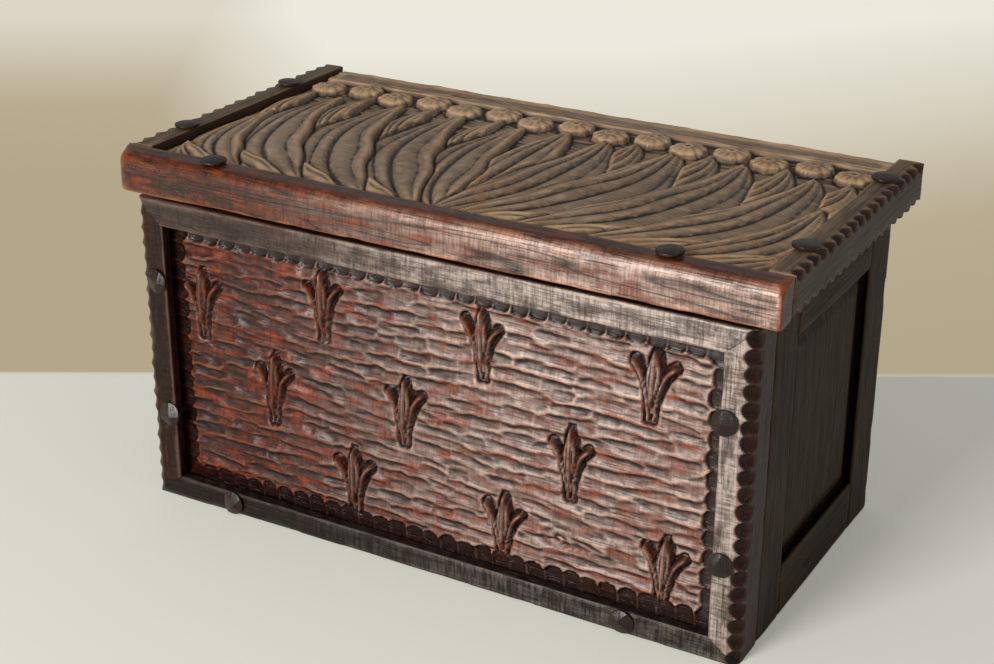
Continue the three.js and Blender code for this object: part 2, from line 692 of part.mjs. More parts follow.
piece(lid, "lid_front_nosing", prism(section, lidLength, back, up, new THREE.Vector3(-lidRight, 0, 0))
  .intersect(prism(plan, lidThickness, right, back, new THREE.Vector3(0, 0, lidUnderside)))
  .subtract(tongueRoom).subtract(lidHoles), redOak);

// End battens, scalloped along their outer arrises
const battenFront = nosingBack + seatGap;
for (const [word, side, outward] of [["left", -1, left], ["right", 1, right]]) {
  const arris = (z) => [
    new THREE.Vector3(side * lidRight, battenFront, z), new THREE.Vector3(side * lidRight, lidBack, z),
  ];
  piece(lid, `lid_${word}_batten`, block(
    side * battenInner, side * lidRight, battenFront, lidBack, lidUnderside, lidTop)
    .subtract(scallops(...arris(lidTop), up, outward, battenGouge))
    .subtract(scallops(...arris(lidUnderside), down, outward, underGouge))
    .subtract(tongueRoom).subtract(lidHoles), darkOak);
}

// Carved lid panel: big leaves sweep out to both sides from one in the middle, and a row of seed
// heads stands behind them.
// Leaves of one side: root, bend and tip as (along half the length, up the depth), then half the
// width as a share of the depth. The first four stand between the tips of the others.
const leafShares = [
  [0.86, 0.4, 0.99, 0.55, 0.95, 0.76, 0.055],
  [0.66, 0.42, 0.8, 0.58, 0.735, 0.8, 0.055],
  [0.42, 0.42, 0.55, 0.6, 0.49, 0.8, 0.055],
  [0.2, 0.42, 0.3, 0.6, 0.24, 0.8, 0.05],
  [0, 0, 0.24, 0.3, 0.15, 0.77, 0.115],
  [0.07, -0.01, 0.47, 0.28, 0.38, 0.78, 0.13],
  [0.1, -0.02, 0.3, 0.02, 0.42, 0.17, 0.06],
  [0.25, -0.01, 0.7, 0.24, 0.61, 0.77, 0.13],
  [0.3, -0.02, 0.5, 0.02, 0.62, 0.17, 0.06],
  [0.46, -0.01, 0.93, 0.2, 0.84, 0.75, 0.125],
  [0.5, -0.02, 0.7, 0.02, 0.82, 0.16, 0.06],
  [0.68, -0.01, 0.985, 0.1, 0.95, 0.52, 0.085],
  [0.74, -0.02, 0.9, 0, 0.985, 0.14, 0.05],
];
const middleLeafShares = [0, -0.01, 0.02, 0.4, 0, 0.78, 0.105];
// The seed heads' line, as shares of the depth, and how far every other one stands off it
const seedCount = 15;
const seedLineShare = 0.83;
const seedStaggerShare = 0.014;
const panelRight = battenInner - seatGap;
const panelFront = nosingBack + seatGap;
const panelTop = lidTop - panelDrop;
const carvedDepth = lidBack - panelFront;
const onLid = (x, y, out) => new THREE.Vector3(x, panelFront + y, panelTop + out);
let lidPanel = block(-panelRight, panelRight, panelFront, lidBack, lidUnderside, panelTop)
  .add(block(
    -battenInner - tongueLength + seatGap, battenInner + tongueLength - seatGap,
    nosingBack - tongueLength + seatGap, lidBack, tongueLow, tongueHigh));
const carvedSpace = block(-panelRight, panelRight, panelFront, lidBack, lidUnderside, lidTop);
function growLeaf(side, [rootX, rootY, bendX, bendY, tipX, tipY, widthShare], sectionShares) {
  const spot = (x, y) => [side * x * panelRight, y * carvedDepth];
  const curve = bend(...spot(rootX, rootY), ...spot(bendX, bendY), ...spot(tipX, tipY));
  const body = leaf(curve, leafSteps, widthShare * carvedDepth, leafRelief, sectionShares, onLid);
  lidPanel = lidPanel.add(body.intersect(carvedSpace));
}
growLeaf(1, middleLeafShares, evenSectionShares);
for (const shares of leafShares) {
  growLeaf(-1, shares, foldSectionShares);
  growLeaf(1, shares, mirrored(foldSectionShares));
}
const seedSides = 12;
const seedDome = seedProfileShares.map(([acrossShare, heightShare]) => (
  [seedRadius * acrossShare, seedRelief * heightShare]));
const seedProfile = [[0, -rootSink], [seedRadius, -rootSink], ...seedDome];
for (let number = 0; number < seedCount; number += 1) {
  const acrossShare = (2 * number + 1) / seedCount - 1;
  const upShare = seedLineShare + (number % 2 ? seedStaggerShare : -seedStaggerShare);
  const at = onLid(acrossShare * panelRight, upShare * carvedDepth, 0);
  lidPanel = lidPanel.add(turned(seedProfile, seedSides, at, up).intersect(carvedSpace));
}
lidPanel = lidPanel.add(block(
  -panelRight, panelRight, lidBack - bandWidth, lidBack, lidUnderside + tongueThickness,
  panelTop + bandHeight));
piece(lid, "lid_panel", lidPanel.subtract(panelHoles).subtract(lidHoles), greyOak);

const chest = new THREE.Group();
chest.add(box, lid);
export default chest;
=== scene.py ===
# %% [markdown]
# A small carved coffer chest, dressed for the camera.
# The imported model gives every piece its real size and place. This notebook gives each one the
# surface that a carver's tools and long use leave: gouge marks, worn arrises, dirt in the hollows
# and a waxed finish. Each step says what the piece is, how it could be made and why this way.

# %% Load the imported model
import math
import random
from contextlib import contextmanager

import bmesh
import bpy
import numpy as np
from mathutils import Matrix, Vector


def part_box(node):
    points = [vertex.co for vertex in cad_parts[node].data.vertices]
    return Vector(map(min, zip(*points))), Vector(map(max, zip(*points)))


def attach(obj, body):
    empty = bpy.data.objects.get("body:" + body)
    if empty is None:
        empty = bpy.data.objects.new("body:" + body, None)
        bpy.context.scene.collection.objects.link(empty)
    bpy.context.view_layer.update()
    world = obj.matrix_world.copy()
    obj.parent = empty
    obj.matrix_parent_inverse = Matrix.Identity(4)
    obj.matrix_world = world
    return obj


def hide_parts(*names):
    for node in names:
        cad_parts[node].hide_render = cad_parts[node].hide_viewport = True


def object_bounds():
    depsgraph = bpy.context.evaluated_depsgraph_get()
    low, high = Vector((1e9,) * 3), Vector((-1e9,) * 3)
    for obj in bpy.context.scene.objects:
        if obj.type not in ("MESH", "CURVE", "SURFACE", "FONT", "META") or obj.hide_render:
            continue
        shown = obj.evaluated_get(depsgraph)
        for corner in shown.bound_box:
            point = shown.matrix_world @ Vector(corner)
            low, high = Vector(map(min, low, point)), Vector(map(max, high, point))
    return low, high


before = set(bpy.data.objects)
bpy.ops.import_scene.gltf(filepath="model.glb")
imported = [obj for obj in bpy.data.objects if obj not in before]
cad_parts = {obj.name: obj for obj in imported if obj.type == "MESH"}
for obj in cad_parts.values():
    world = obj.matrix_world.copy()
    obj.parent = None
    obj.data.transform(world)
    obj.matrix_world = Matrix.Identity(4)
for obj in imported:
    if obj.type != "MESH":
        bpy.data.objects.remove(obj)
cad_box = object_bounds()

print("nodes in the model:", len(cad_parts))

# %% [markdown]
# The camera comes first, because it says what will be seen. The photograph was taken a little
# above the chest and to its right. The place, direction and lens come from fitting the edges of
# the front, the lid and the side, so they are written here as real sizes.

# %% Camera
CAMERA_AT = Vector((0.4041, -0.7226, 0.4589))
CAMERA_TURN = -0.5210
CAMERA_TILT = -0.4168
CAMERA_ROLL = -0.0026
CAMERA_LENS = 66.34


def add_camera():
    """A camera that looks along its turn (from +Y, clockwise) and its tilt (above the horizon)."""
    bpy.ops.object.camera_add(location=CAMERA_AT)
    camera = bpy.context.object
    camera.rotation_euler = (math.pi / 2 + CAMERA_TILT, CAMERA_ROLL, -CAMERA_TURN)
    camera.data.lens = CAMERA_LENS
    camera.data.dof.use_dof = False
    bpy.context.scene.camera = camera
    return camera


camera = add_camera()
bpy.context.scene.view_settings.view_transform = "Standard"
print("camera looks along", camera.rotation_euler.to_matrix() @ Vector((0, 0, -1)))

# %% [markdown]
# The light is plain: one tall soft lamp stands for a window in front of the chest and a little to
# its left, and the world is an even pale room. Where the window stands decides where the wax
# shines: its reflection comes to the camera from the right half of the front and not from the left.

# %% Light
WINDOW_AT = Vector((-0.46, -2.1, 0.78))
WINDOW_WIDTH = 0.85
WINDOW_HEIGHT = 1.4
WINDOW_POWER = 56
WINDOW_COLOUR = (1.0, 0.97, 0.93)
ROOM_COLOUR = (1.0, 0.97, 0.92)
ROOM_STRENGTH = 0.3
FAR_COLOUR = (0.84, 0.82, 0.73)


def add_window():
    """An upright area lamp that points at the chest."""
    bpy.ops.object.light_add(type="AREA", location=WINDOW_AT)
    lamp = bpy.context.object
    lamp.rotation_euler = (-WINDOW_AT).to_track_quat("-Z", "Y").to_euler()
    lamp.data.shape = "RECTANGLE"
    lamp.data.size = WINDOW_WIDTH
    lamp.data.size_y = WINDOW_HEIGHT
    lamp.data.energy = WINDOW_POWER
    lamp.data.color = WINDOW_COLOUR


def light_room():
    """An even dim world, whose far end looks pale to the camera."""
    world = bpy.data.worlds.new("room")
    world.use_nodes = True
    tree = world.node_tree
    room = tree.nodes["Background"]
    room.inputs["Color"].default_value = (*ROOM_COLOUR, 1)
    room.inputs["Strength"].default_value = ROOM_STRENGTH
    far_end = tree.nodes.new("ShaderNodeBackground")
    far_end.inputs["Color"].default_value = (*FAR_COLOUR, 1)
    seen = tree.nodes.new("ShaderNodeLightPath").outputs["Is Camera Ray"]
    mixed = tree.nodes.new("ShaderNodeMixShader")
    tree.links.new(seen, mixed.inputs[0])
    tree.links.new(room.outputs["Background"], mixed.inputs[1])
    tree.links.new(far_end.outputs["Background"], mixed.inputs[2])
    tree.links.new(mixed.outputs["Shader"], tree.nodes["World Output"].inputs["Surface"])
    bpy.context.scene.world = world


add_window()
light_room()
print("window lamp", WINDOW_WIDTH, "by", WINDOW_HEIGHT, "m,", round(WINDOW_AT.length, 2), "m away")

# %% [markdown]
# Materials are built from nodes. Small helpers keep that readable: one turns a written colour into
# the linear one that shaders use, one adds a node and fills or joins its inputs, and the others are
# the few kinds of node that every material here needs.

# %% Node helpers


def tint(code):
    """A written colour such as 5a2c24 as a linear red, green, blue and alpha."""
    parts = [int(code[i:i + 2], 16) / 255 for i in (0, 2, 4)]
    return (*[part / 12.92 if part < 0.04045 else ((part + 0.055) / 1.055) ** 2.4 for part in parts], 1)


def add(tree, kind, inputs, **settings):
    """Adds a shader node, sets it up, and fills its inputs with values or joins them to outputs."""
    node = tree.nodes.new("ShaderNode" + kind)
    for name, value in settings.items():
        setattr(node, name, value)
    for name, value in inputs.items():
        if isinstance(value, bpy.types.NodeSocket):
            tree.links.new(value, node.inputs[name])
        else:
            node.inputs[name].default_value = value
    return node


def ramp(tree, value, stops):
    """Spreads colours over a value: stops are (place, colour)."""
    node = add(tree, "ValToRGB", {"Fac": value})
    while len(node.color_ramp.elements) < len(stops):
        node.color_ramp.elements.new(0.5)
    for element, (place, colour) in zip(node.color_ramp.elements, stops):
        element.position = place
        element.color = colour
    return node.outputs["Color"]


def spread(tree, value, low, high, to_low=0.0, to_high=1.0):
    """Takes a value from one range to another and stops at its ends."""
    sizes = {"Value": value, "From Min": low, "From Max": high, "To Min": to_low, "To Max": to_high}
    return add(tree, "MapRange", sizes).outputs["Result"]


def maths(tree, operation, first, second):
    """One sum on two values."""
    return add(tree, "Math", {0: first, 1: second}, operation=operation).outputs["Value"]


def times(tree, first, *others):
    """A value multiplied by the others, one after another."""
    for other in others:
        first = maths(tree, "MULTIPLY", first, other)
    return first


def attribute(tree, name):
    """The number that the mesh carries under a name."""
    return add(tree, "Attribute", {}, attribute_name=name).outputs["Fac"]


def object_places(tree, scale=(1, 1, 1), turn=0.0):
    """Object coordinates, scaled along each axis or turned about the upright one."""
    place = add(tree, "TexCoord", {}).outputs["Object"]
    return add(tree, "Mapping", {"Vector": place, "Scale": scale, "Rotation": (0, 0, turn)}).outputs["Vector"]


def blend(tree, share, first, second, how="MIX"):
    """Mixes two colours."""
    colours = {"Fac": share, "Color1": first, "Color2": second}
    return add(tree, "MixRGB", colours, blend_type=how).outputs["Color"]


# %% [markdown]
# Old waxed oak is the main finish. Its look has layers: slow patches of redder and greyer stain,
# streaks along the grain, fine dark pores, the fine marks of a toothed scraper across the grain,
# dirt in the hollows, and slightly paler wood on worn arrises, all under a coat of wax. One function
# makes the layers, and each piece passes its own colours. Dirt and wear follow the shape, so they
# read an attribute called worn that is measured on the finished mesh: above zero on ridges, below in
# hollows. A second one, called cut, marks the gouged places, which kept their dark red stain; on the
# carved front it also paints shade into the trenches round the sprigs and into the pockets along the
# frame. A third one marks a pale veil of old wax that catches on the scraper's marks, which gives a
# woven look, together with a painted sheen where the window's reflection would fall: on what faces
# forward and up, higher up, and more to the right.

# %% Oak
STREAK_WIDTH = 0.0021
STREAK_STRETCH = 0.07
PORE_WIDTH = 0.0007
PORE_STRETCH = 0.03
PATCH_WIDTH = 0.045
RING_WIDTH = 0.009
RING_STRETCH = 0.045
WEFT_WIDTH = 0.0009
WEFT_STRETCH = 0.05
WEFT_SHARE = 0.35
MARK_STRETCH = 0.12
RINGS_PER_BUMP = 9.0
GRAIN_DEPTH = 0.00035
WAX_AND_SHEEN_LIMIT = 0.95
CUT_STAIN_AND_SHADE_SHARE = 0.9
DIRT_SHARE = 0.9
DARK_SHADE, MIDDLE_SHADE, NO_SHADE = "5f5a57", "d9d6d2", "ffffff"
ALONG_X, ALONG_Y, ALONG_Z = 0, 1, 2


def grain_places(tree, axis, stretch, width):
    """Object coordinates in grain widths, drawn out along the grain's axis."""
    scale = [1 / width] * 3
    scale[axis] *= stretch
    return object_places(tree, scale)


def noise(tree, places, detail=3.0, rough=0.55, warp=0.0):
    """Soft random values, one spot to each unit of the places."""
    settings = {"Vector": places, "Scale": 1.0, "Detail": detail, "Roughness": rough, "Distortion": warp}
    return add(tree, "TexNoise", settings).outputs["Fac"]


def scraper_marks(tree, axis, pitch):
    """Fine lines across the grain, a little uneven, from 0 to 1."""
    scale = [MARK_STRETCH / pitch] * 3
    scale[axis] = 1 / pitch
    return noise(tree, object_places(tree, scale), 2.0, 0.7)


def stained_colour(tree, axis, colours, streaks, patches, contrast):
    """Patches of stain, warmer in small ones, under soft dark streaks."""
    wide_patches = noise(tree, grain_places(tree, axis, 0.5, PATCH_WIDTH), 3.0, 0.6, 0.4)
    stops = [(0.0, tint(colours["stain"])), (0.55, tint(colours["red"])), (1.0, tint(colours["pale"]))]
    colour = ramp(tree, spread(tree, wide_patches, 0.34, 0.66), stops)
    colour = blend(tree, spread(tree, patches, 0.5, 0.36, 0.0, 0.75), colour, tint(colours["warm"]))
    shades = [(0.0, tint(DARK_SHADE)), (0.5, tint(MIDDLE_SHADE)), (1.0, tint(NO_SHADE))]
    shade = ramp(tree, spread(tree, streaks, 0.3, 0.7), shades)
    return blend(tree, contrast, colour, shade, "MULTIPLY")


def dark_grain(tree, axis, pores, rings, contrast):
    """How dark the ring lines and the pores are at each place."""
    ring = noise(tree, grain_places(tree, axis, RING_STRETCH, RING_WIDTH), 1.0, 0.5, 0.8)
    ring_lines = maths(tree, "PINGPONG", times(tree, ring, RINGS_PER_BUMP), 0.5)
    ring_share = spread(tree, ring_lines, 0.0, 0.16, rings, 0.0)
    return maths(tree, "MAXIMUM", ring_share, times(tree, pores, 0.65 * contrast))


def lay_wax_and_sheen(tree, colour, colours, woven, worn, patches, wax_and_sheen, weave):
    """Lays the pale veil of old wax and a painted sheen on a colour: more on ridges, less in patches and in
    hollows.
    """
    threads = spread(tree, woven, 0.42, 0.58, wax_and_sheen * (1 - 0.8 * weave), wax_and_sheen * (1 + 0.5 * weave))
    by_wear = spread(tree, worn, -0.4, 0.6, 0.45, 1.3)
    by_patch = spread(tree, patches, 0.4, 0.58, 0.3, 1.15)
    sheen_share = times(tree, attribute(tree, "wax_and_sheen"), threads, by_wear, by_patch)
    return blend(tree, maths(tree, "MINIMUM", sheen_share, WAX_AND_SHEEN_LIMIT), colour, tint(colours["wax_and_sheen"]))


def used(tree, colour, colours, gouged, worn, streaks, patches, wear):
    """Stains the gouged places, which on the carved front also paints shade into the trenches and
    pockets, rubs the ridges bare and leaves dirt in the hollows.
    """
    # On the carved front this blend also paints the shade of the trenches and pockets.
    cut_stain_and_shade = blend(tree, spread(tree, streaks, 0.3, 0.65), tint(colours["dirt"]), tint(colours["cut"]))
    colour = blend(tree, times(tree, gouged, CUT_STAIN_AND_SHADE_SHARE), colour, cut_stain_and_shade)
    uneven = spread(tree, patches, 0.35, 0.65, -0.35, 0.35)
    rubbed = spread(tree, maths(tree, "ADD", worn, uneven), 0.3, 1.1)
    rubbed = times(tree, rubbed, spread(tree, gouged, 0.0, 1.0, wear, wear / 4))
    soiled = spread(tree, maths(tree, "SUBTRACT", uneven, worn), 0.1, 0.75)
    colour = blend(tree, rubbed, colour, tint(colours["bare"]))
    return blend(tree, times(tree, soiled, DIRT_SHARE), colour, tint(colours["dirt"]))


def oak(name, axis, colours, gloss, wax=0.1, shine=0.35, marks=None, marks_depth=0.0, rings=0.35,
        contrast=0.85, wear=0.4, wax_and_sheen=0.0, weave=1.0, relief=0.55):
    """Waxed oak with its grain along an axis. Gloss is the roughness of the wood, wax the weight of
    the coat and shine the strength of the wood's own reflection. Marks is the pitch of the scraper's
    lines and marks depth how deep they are beside the grain. Rings and contrast say how dark the
    ring lines and the streaks are, wear how much the ridges pale, bloom how pale the veil of old wax
    and the painted sheen on it are, weave how much it keeps to the fine lines, and relief how
    strongly the grain stands out."""
    material = bpy.data.materials.new(name)
    material.use_nodes = True
    tree = material.node_tree
    shader = tree.nodes["Principled BSDF"]
    gouged, worn = attribute(tree, "cut"), attribute(tree, "worn")
    streaks = noise(tree, grain_places(tree, axis, STREAK_STRETCH, STREAK_WIDTH), 6.0, 0.62, 0.3)
    pores = spread(tree, noise(tree, grain_places(tree, axis, PORE_STRETCH, PORE_WIDTH), 1.0), 0.6, 0.68)
    patches = noise(tree, grain_places(tree, axis, 0.35, PATCH_WIDTH / 8), 4.0, 0.65)
    woven = noise(tree, grain_places(tree, axis, WEFT_STRETCH, WEFT_WIDTH), 3.0, 0.6)
    colour = stained_colour(tree, axis, colours, streaks, patches, contrast)
    height = maths(tree, "SUBTRACT", streaks, times(tree, pores, 0.8))
    if marks:
        lines = scraper_marks(tree, axis, marks)
        woven = maths(tree, "ADD", times(tree, woven, WEFT_SHARE), times(tree, lines, 1 - WEFT_SHARE))
        colour = blend(tree, spread(tree, lines, 0.54, 0.36, 0.0, 0.6), colour, tint(colours["dirt"]))
        height = maths(tree, "ADD", height, times(tree, lines, marks_depth))
    # Painted sheen: the pale veil of old wax is laid on thickest where the window's reflection would fall.
    if wax_and_sheen:
        colour = lay_wax_and_sheen(tree, colour, colours, woven, worn, patches, wax_and_sheen, weave)
    colour = blend(tree, dark_grain(tree, axis, pores, rings, contrast), colour, tint(colours["dirt"]))
    colour = used(tree, colour, colours, gouged, worn, streaks, patches, wear)
    tree.links.new(colour, shader.inputs["Base Color"])
    tree.links.new(spread(tree, streaks, 0.3, 0.7, gloss + 0.07, gloss - 0.05), shader.inputs["Roughness"])
    shader.inputs["Specular IOR Level"].default_value = shine
    shader.inputs["Coat Weight"].default_value = wax
    shader.inputs["Coat Roughness"].default_value = gloss - 0.06
    bump = add(tree, "Bump", {"Strength": relief, "Distance": GRAIN_DEPTH, "Height": height})
    for socket in ("Normal", "Coat Normal"):
        tree.links.new(bump.outputs["Normal"], shader.inputs[socket])
    return material


def colours_of(*codes):
    """Names a wood's colours: three tones of stain with a warm one between, then dirt in hollows,
    bare wood on ridges, the stain of gouged places, which on the carved front also paints the shade
    of deep cuts, and the pale veil of old wax, which also serves as painted sheen."""
    return dict(zip(("stain", "red", "warm", "pale", "dirt", "bare", "cut", "wax_and_sheen"), codes))


# The last colour in each list is the pale wax veil, which is laid on as painted sheen as well.
frame_colours = colours_of("28170f", "361e14", "45261a", "41302a", "0c0705", "7a5f52", "330f08", "c3b3aa")
sill_colours = colours_of("18110d", "20150f", "2a1a12", "2a211b", "0a0705", "64564b", "200e0a", "a0968f")
field_colours = colours_of("310f09", "541b0b", "9c3f18", "40231b", "0a0403", "a0664a", "1c0805", "c6afa4")
nosing_colours = colours_of("321105", "581e07", "8e3d0e", "40200f", "0c0502", "c06826", "2c120b", "caada0")
batten_colours = colours_of("695844", "7a624a", "846a4e", "887460", "0f0a07", "9c8064", "3a1c12", "c4b0a6")
lid_colours = colours_of("6c5b4c", "836d5b", "a67f5a", "94826f", "080504", "d0aa80", "1a120d", "c4b0a6")
side_colours = colours_of("2c2115", "38281a", "3c2a1a", "403220", "150e08", "574732", "2c2115", "c4b0a6")
plain_colours = colours_of("5b4632", "6a5039", "70543a", "7a6148", "2a1e14", "93785a", "2a1e14", "c4b0a6")
peg_colours = colours_of("21150f", "2a1811", "301c13", "3a2b24", "0a0605", "83695a", "21150f", "c4b0a6")

rail_oak = oak(
    "rail_oak", ALONG_X, frame_colours, 0.32, marks=0.0012, marks_depth=0.8, wax_and_sheen=0.95, weave=0.6)
sill_oak = oak(
    "sill_oak", ALONG_X, sill_colours, 0.38, wax=0.0, shine=0.2, marks=0.0017, marks_depth=0.5,
    wear=0.35, wax_and_sheen=0.32)
stile_oak = oak(
    "stile_oak", ALONG_Z, frame_colours, 0.3, wax=0.0, shine=0.2, marks=0.0012, marks_depth=0.8,
    wax_and_sheen=0.95, weave=0.6)
batten_oak = oak("batten_oak", ALONG_Y, batten_colours, 0.45)
nosing_oak = oak(
    "nosing_oak", ALONG_X, nosing_colours, 0.27, wax=0.25, marks=0.0011, marks_depth=0.3, rings=0.85,
    wax_and_sheen=0.78, weave=0.5)
field_oak = oak(
    "field_oak", ALONG_X, field_colours, 0.33, shine=0.28, marks=0.0016, marks_depth=0.25,
    wax_and_sheen=0.85, weave=0.3)
lid_oak = oak(
    "lid_oak", ALONG_X, lid_colours, 0.42, wax=0.2, shine=0.5, rings=0.1, contrast=0.4, wear=0.7,
    relief=0.35)
side_stile_oak = oak("side_stile_oak", ALONG_Z, side_colours, 0.5, wax=0.0, shine=0.15)
side_rail_oak = oak("side_rail_oak", ALONG_Y, side_colours, 0.5, wax=0.0, shine=0.15)
plain_oak = oak("plain_oak", ALONG_X, plain_colours, 0.7, wax=0.0)
peg_oak = oak("peg_oak", ALONG_Z, peg_colours, 0.3, wax=0.15, shine=0.3, rings=0.1)
print("finishes so far:", len(bpy.data.materials))

# %% [markdown]
# Hand tools are the other half of the look, so the meshes need helpers too. The points of a mesh
# are read and written as one table of numbers. Smooth random values, one bump per unit of length,
# give the slow waves of a hand-planed face. They come from a small seeded table, so each run gives
# the same chest.

# %% Mesh helpers
LATTICE = 32


def read_points(piece, name="co"):
    """A table with one row for each point: its place, or with the name normal the way it faces."""
    table = np.empty(len(piece.data.vertices) * 3)
    piece.data.vertices.foreach_get(name, table)
    return table.reshape(-1, 3)


def put_points(piece, points):
    """Moves each point to its row of a table."""
    piece.data.vertices.foreach_set("co", points.ravel())
    piece.data.update()


def wander(points, seed):
    """Smooth random values from -1 to 1, with about one bump per unit of length."""
    table = np.random.default_rng(seed).uniform(-1, 1, (LATTICE,) * 3)
    cell = np.floor(points).astype(int)
    share = points - cell
    share = share * share * (3 - 2 * share)
    value = np.zeros(len(points))
    for corner in np.ndindex(2, 2, 2):
        weight = np.prod(np.where(np.array(corner, bool), share, 1 - share), axis=1)
        x, y, z = ((cell + corner) % LATTICE).T
        value += weight * table[x, y, z]
    return value


def smooth_step(value):
    """A soft step from 0 to 1."""
    value = np.clip(value, 0, 1)
    return value * value * (3 - 2 * value)


def select_only(piece):
    """Deselects all and selects one piece, because an operator acts on all that is selected."""
    bpy.ops.object.select_all(action="DESELECT")
    piece.select_set(True)
    bpy.context.view_layer.objects.active = piece


def put_in_place(piece):
    """Moves a piece's place, turn and size into its mesh, so its object sits at the origin."""
    select_only(piece)
    bpy.ops.object.transform_apply(location=True, rotation=True, scale=True)
    return piece


def apply_modifier(piece, kind, **settings):
    """Adds a modifier, sets it up and applies it."""
    select_only(piece)
    modifier = piece.modifiers.new(kind.lower(), kind)
    for name, value in settings.items():
        setattr(modifier, name, value)
    bpy.ops.object.modifier_apply(modifier=modifier.name)


def block(name, low, high):
    """A plain block between two corners: a start, never the finished piece."""
    middle = (Vector(low) + Vector(high)) / 2
    size = Vector(high) - Vector(low)
    bpy.ops.object.select_all(action="DESELECT")
    bpy.ops.mesh.primitive_cube_add(size=1, location=middle, scale=size)
    piece = bpy.context.object
    piece.name = name
    return put_in_place(piece)


def cut(piece, tool):
    """Takes a tool's shape out of a piece, and removes the tool."""
    apply_modifier(piece, "BOOLEAN", operation="DIFFERENCE", object=tool, solver="EXACT")
    bpy.data.objects.remove(tool)


@contextmanager
def editing(piece, kind="VERT", everything=True):
    """Opens a piece in edit mode, with all or nothing of it selected, and closes it again."""
    select_only(piece)
    bpy.ops.object.mode_set(mode="EDIT")
    bpy.ops.mesh.select_mode(type=kind)
    bpy.ops.mesh.select_all(action="SELECT" if everything else "DESELECT")
    yield
    bpy.ops.mesh.select_mode(type="VERT")
    bpy.ops.object.mode_set(mode="OBJECT")


def select_where(piece, kind, chosen):
    """In edit mode, selects the edges or the faces that pass a test."""
    mesh = bmesh.from_edit_mesh(piece.data)
    for part in getattr(mesh, kind):
        part.select = chosen(part)
    bmesh.update_edit_mesh(piece.data)


# %% [markdown]
# Wear is measured, not painted. A copy of the points is smoothed along the mesh's edges, and each
# point's distance out of that smooth surface says if it lies on a ridge or in a hollow. A short
# smoothing finds crisp arrises and a long one finds wide hollows, such as those round a sprig.

# %% Wear
SHORT_ROUNDS = 6
LONG_ROUNDS = 60
CUT_FROM = 0.0002
CUT_FULL = 0.0007
# Where the painted sheen starts and is full across the chest, and how much of it is left at the bottom.
SHEEN_FROM = -0.115
SHEEN_TO = 0.07
SHEEN_BELOW = 0.65
CHIP_RIDGE = 0.0003
CHIP_PITCH = 0.011


def smoothed(points, edges, rounds):
    """Each round moves every point half way to the middle of its neighbours."""
    a, b = edges.T
    count = np.bincount(a, minlength=len(points)) + np.bincount(b, minlength=len(points))
    for _ in range(rounds):
        middle = np.empty_like(points)
        for axis in range(3):
            total = np.bincount(a, points[b, axis], len(points))
            total += np.bincount(b, points[a, axis], len(points))
            middle[:, axis] = total / np.maximum(count, 1)
        points = (points + middle) / 2
    return points


def ridges(piece, rounds):
    """How far each point stands out of the smoothed surface, in metres."""
    edges = np.empty(len(piece.data.edges) * 2, dtype=int)
    piece.data.edges.foreach_get("vertices", edges)
    points = read_points(piece)
    apart = points - smoothed(points, edges.reshape(-1, 2), rounds)
    return np.sum(apart * read_points(piece, "normal"), axis=1)


def write_values(piece, name, values):
    """Writes one number on each point, under a name that a material can read."""
    attribute = piece.data.attributes.new(name, "FLOAT", "POINT")
    attribute.data.foreach_set("value", values.astype(np.float32))


def mark_wear(piece, fine=0.00017, wide=0.0009):
    """Writes worn on each point: fine and wide are the heights that count as fully worn."""
    worn = ridges(piece, SHORT_ROUNDS) / fine + ridges(piece, LONG_ROUNDS) / wide
    write_values(piece, "worn", np.clip(worn / 2, -1, 1))


def mark_cuts(piece, low, high):
    """Writes cut on each point: how deep it lies inside the sawn block. The faces at the chest's
    two ends count as cut too, because the dark stain stayed on them."""
    points = read_points(piece)
    inside = np.minimum(points - np.array(low), np.array(high) - points).min(axis=1)
    depth = np.clip((inside - CUT_FROM) / (CUT_FULL - CUT_FROM), 0, 1)
    write_values(piece, "cut", np.maximum(depth, np.abs(read_points(piece, "normal")[:, 0]) ** 3))


def mark_wax_and_sheen(piece):
    """Writes bloom on each point, from its place across the chest and the way it faces: a pale wax
    veil with a painted sheen, stronger further right, higher up and on what faces forward and up.
    """
    x, _, z = read_points(piece).T
    _, back, up = read_points(piece, "normal").T
    across = smooth_step((x - SHEEN_FROM) / (SHEEN_TO - SHEEN_FROM))
    across *= SHEEN_BELOW + (1 - SHEEN_BELOW) * z / cad_box[1][2]
    facing = np.clip(-back, 0, 1) ** 3 * np.clip(0.8 + 0.8 * up, 0.2, 1.2)
    write_values(piece, "wax_and_sheen", across * facing)


def plane_by_hand(piece, grain, seed, waves):
    """Sinks each point a little by smooth random amounts, drawn out along the grain.
    Waves are (length of a bump, depth). Nothing rises, so the piece keeps inside its real size."""
    points = read_points(piece)
    normals = read_points(piece, "normal")
    for number, (length, depth) in enumerate(waves):
        scale = np.full(3, 1 / length)
        scale[grain] /= 3
        sink = depth * (1 + wander(points * scale, seed + number)) / 2
        points -= normals * sink[:, None]
    put_points(piece, points)


def chip_arrises(piece, seed, depth):
    """Knocks small bites out of sharp arrises, only here and there."""
    sharp = np.clip(ridges(piece, SHORT_ROUNDS) / CHIP_RIDGE, 0, 1)
    points = read_points(piece)
    place = np.clip(wander(points / CHIP_PITCH, seed) * 1.6 - 0.2, 0, 1)
    points -= read_points(piece, "normal") * (depth * sharp * place)[:, None]
    put_points(piece, points)


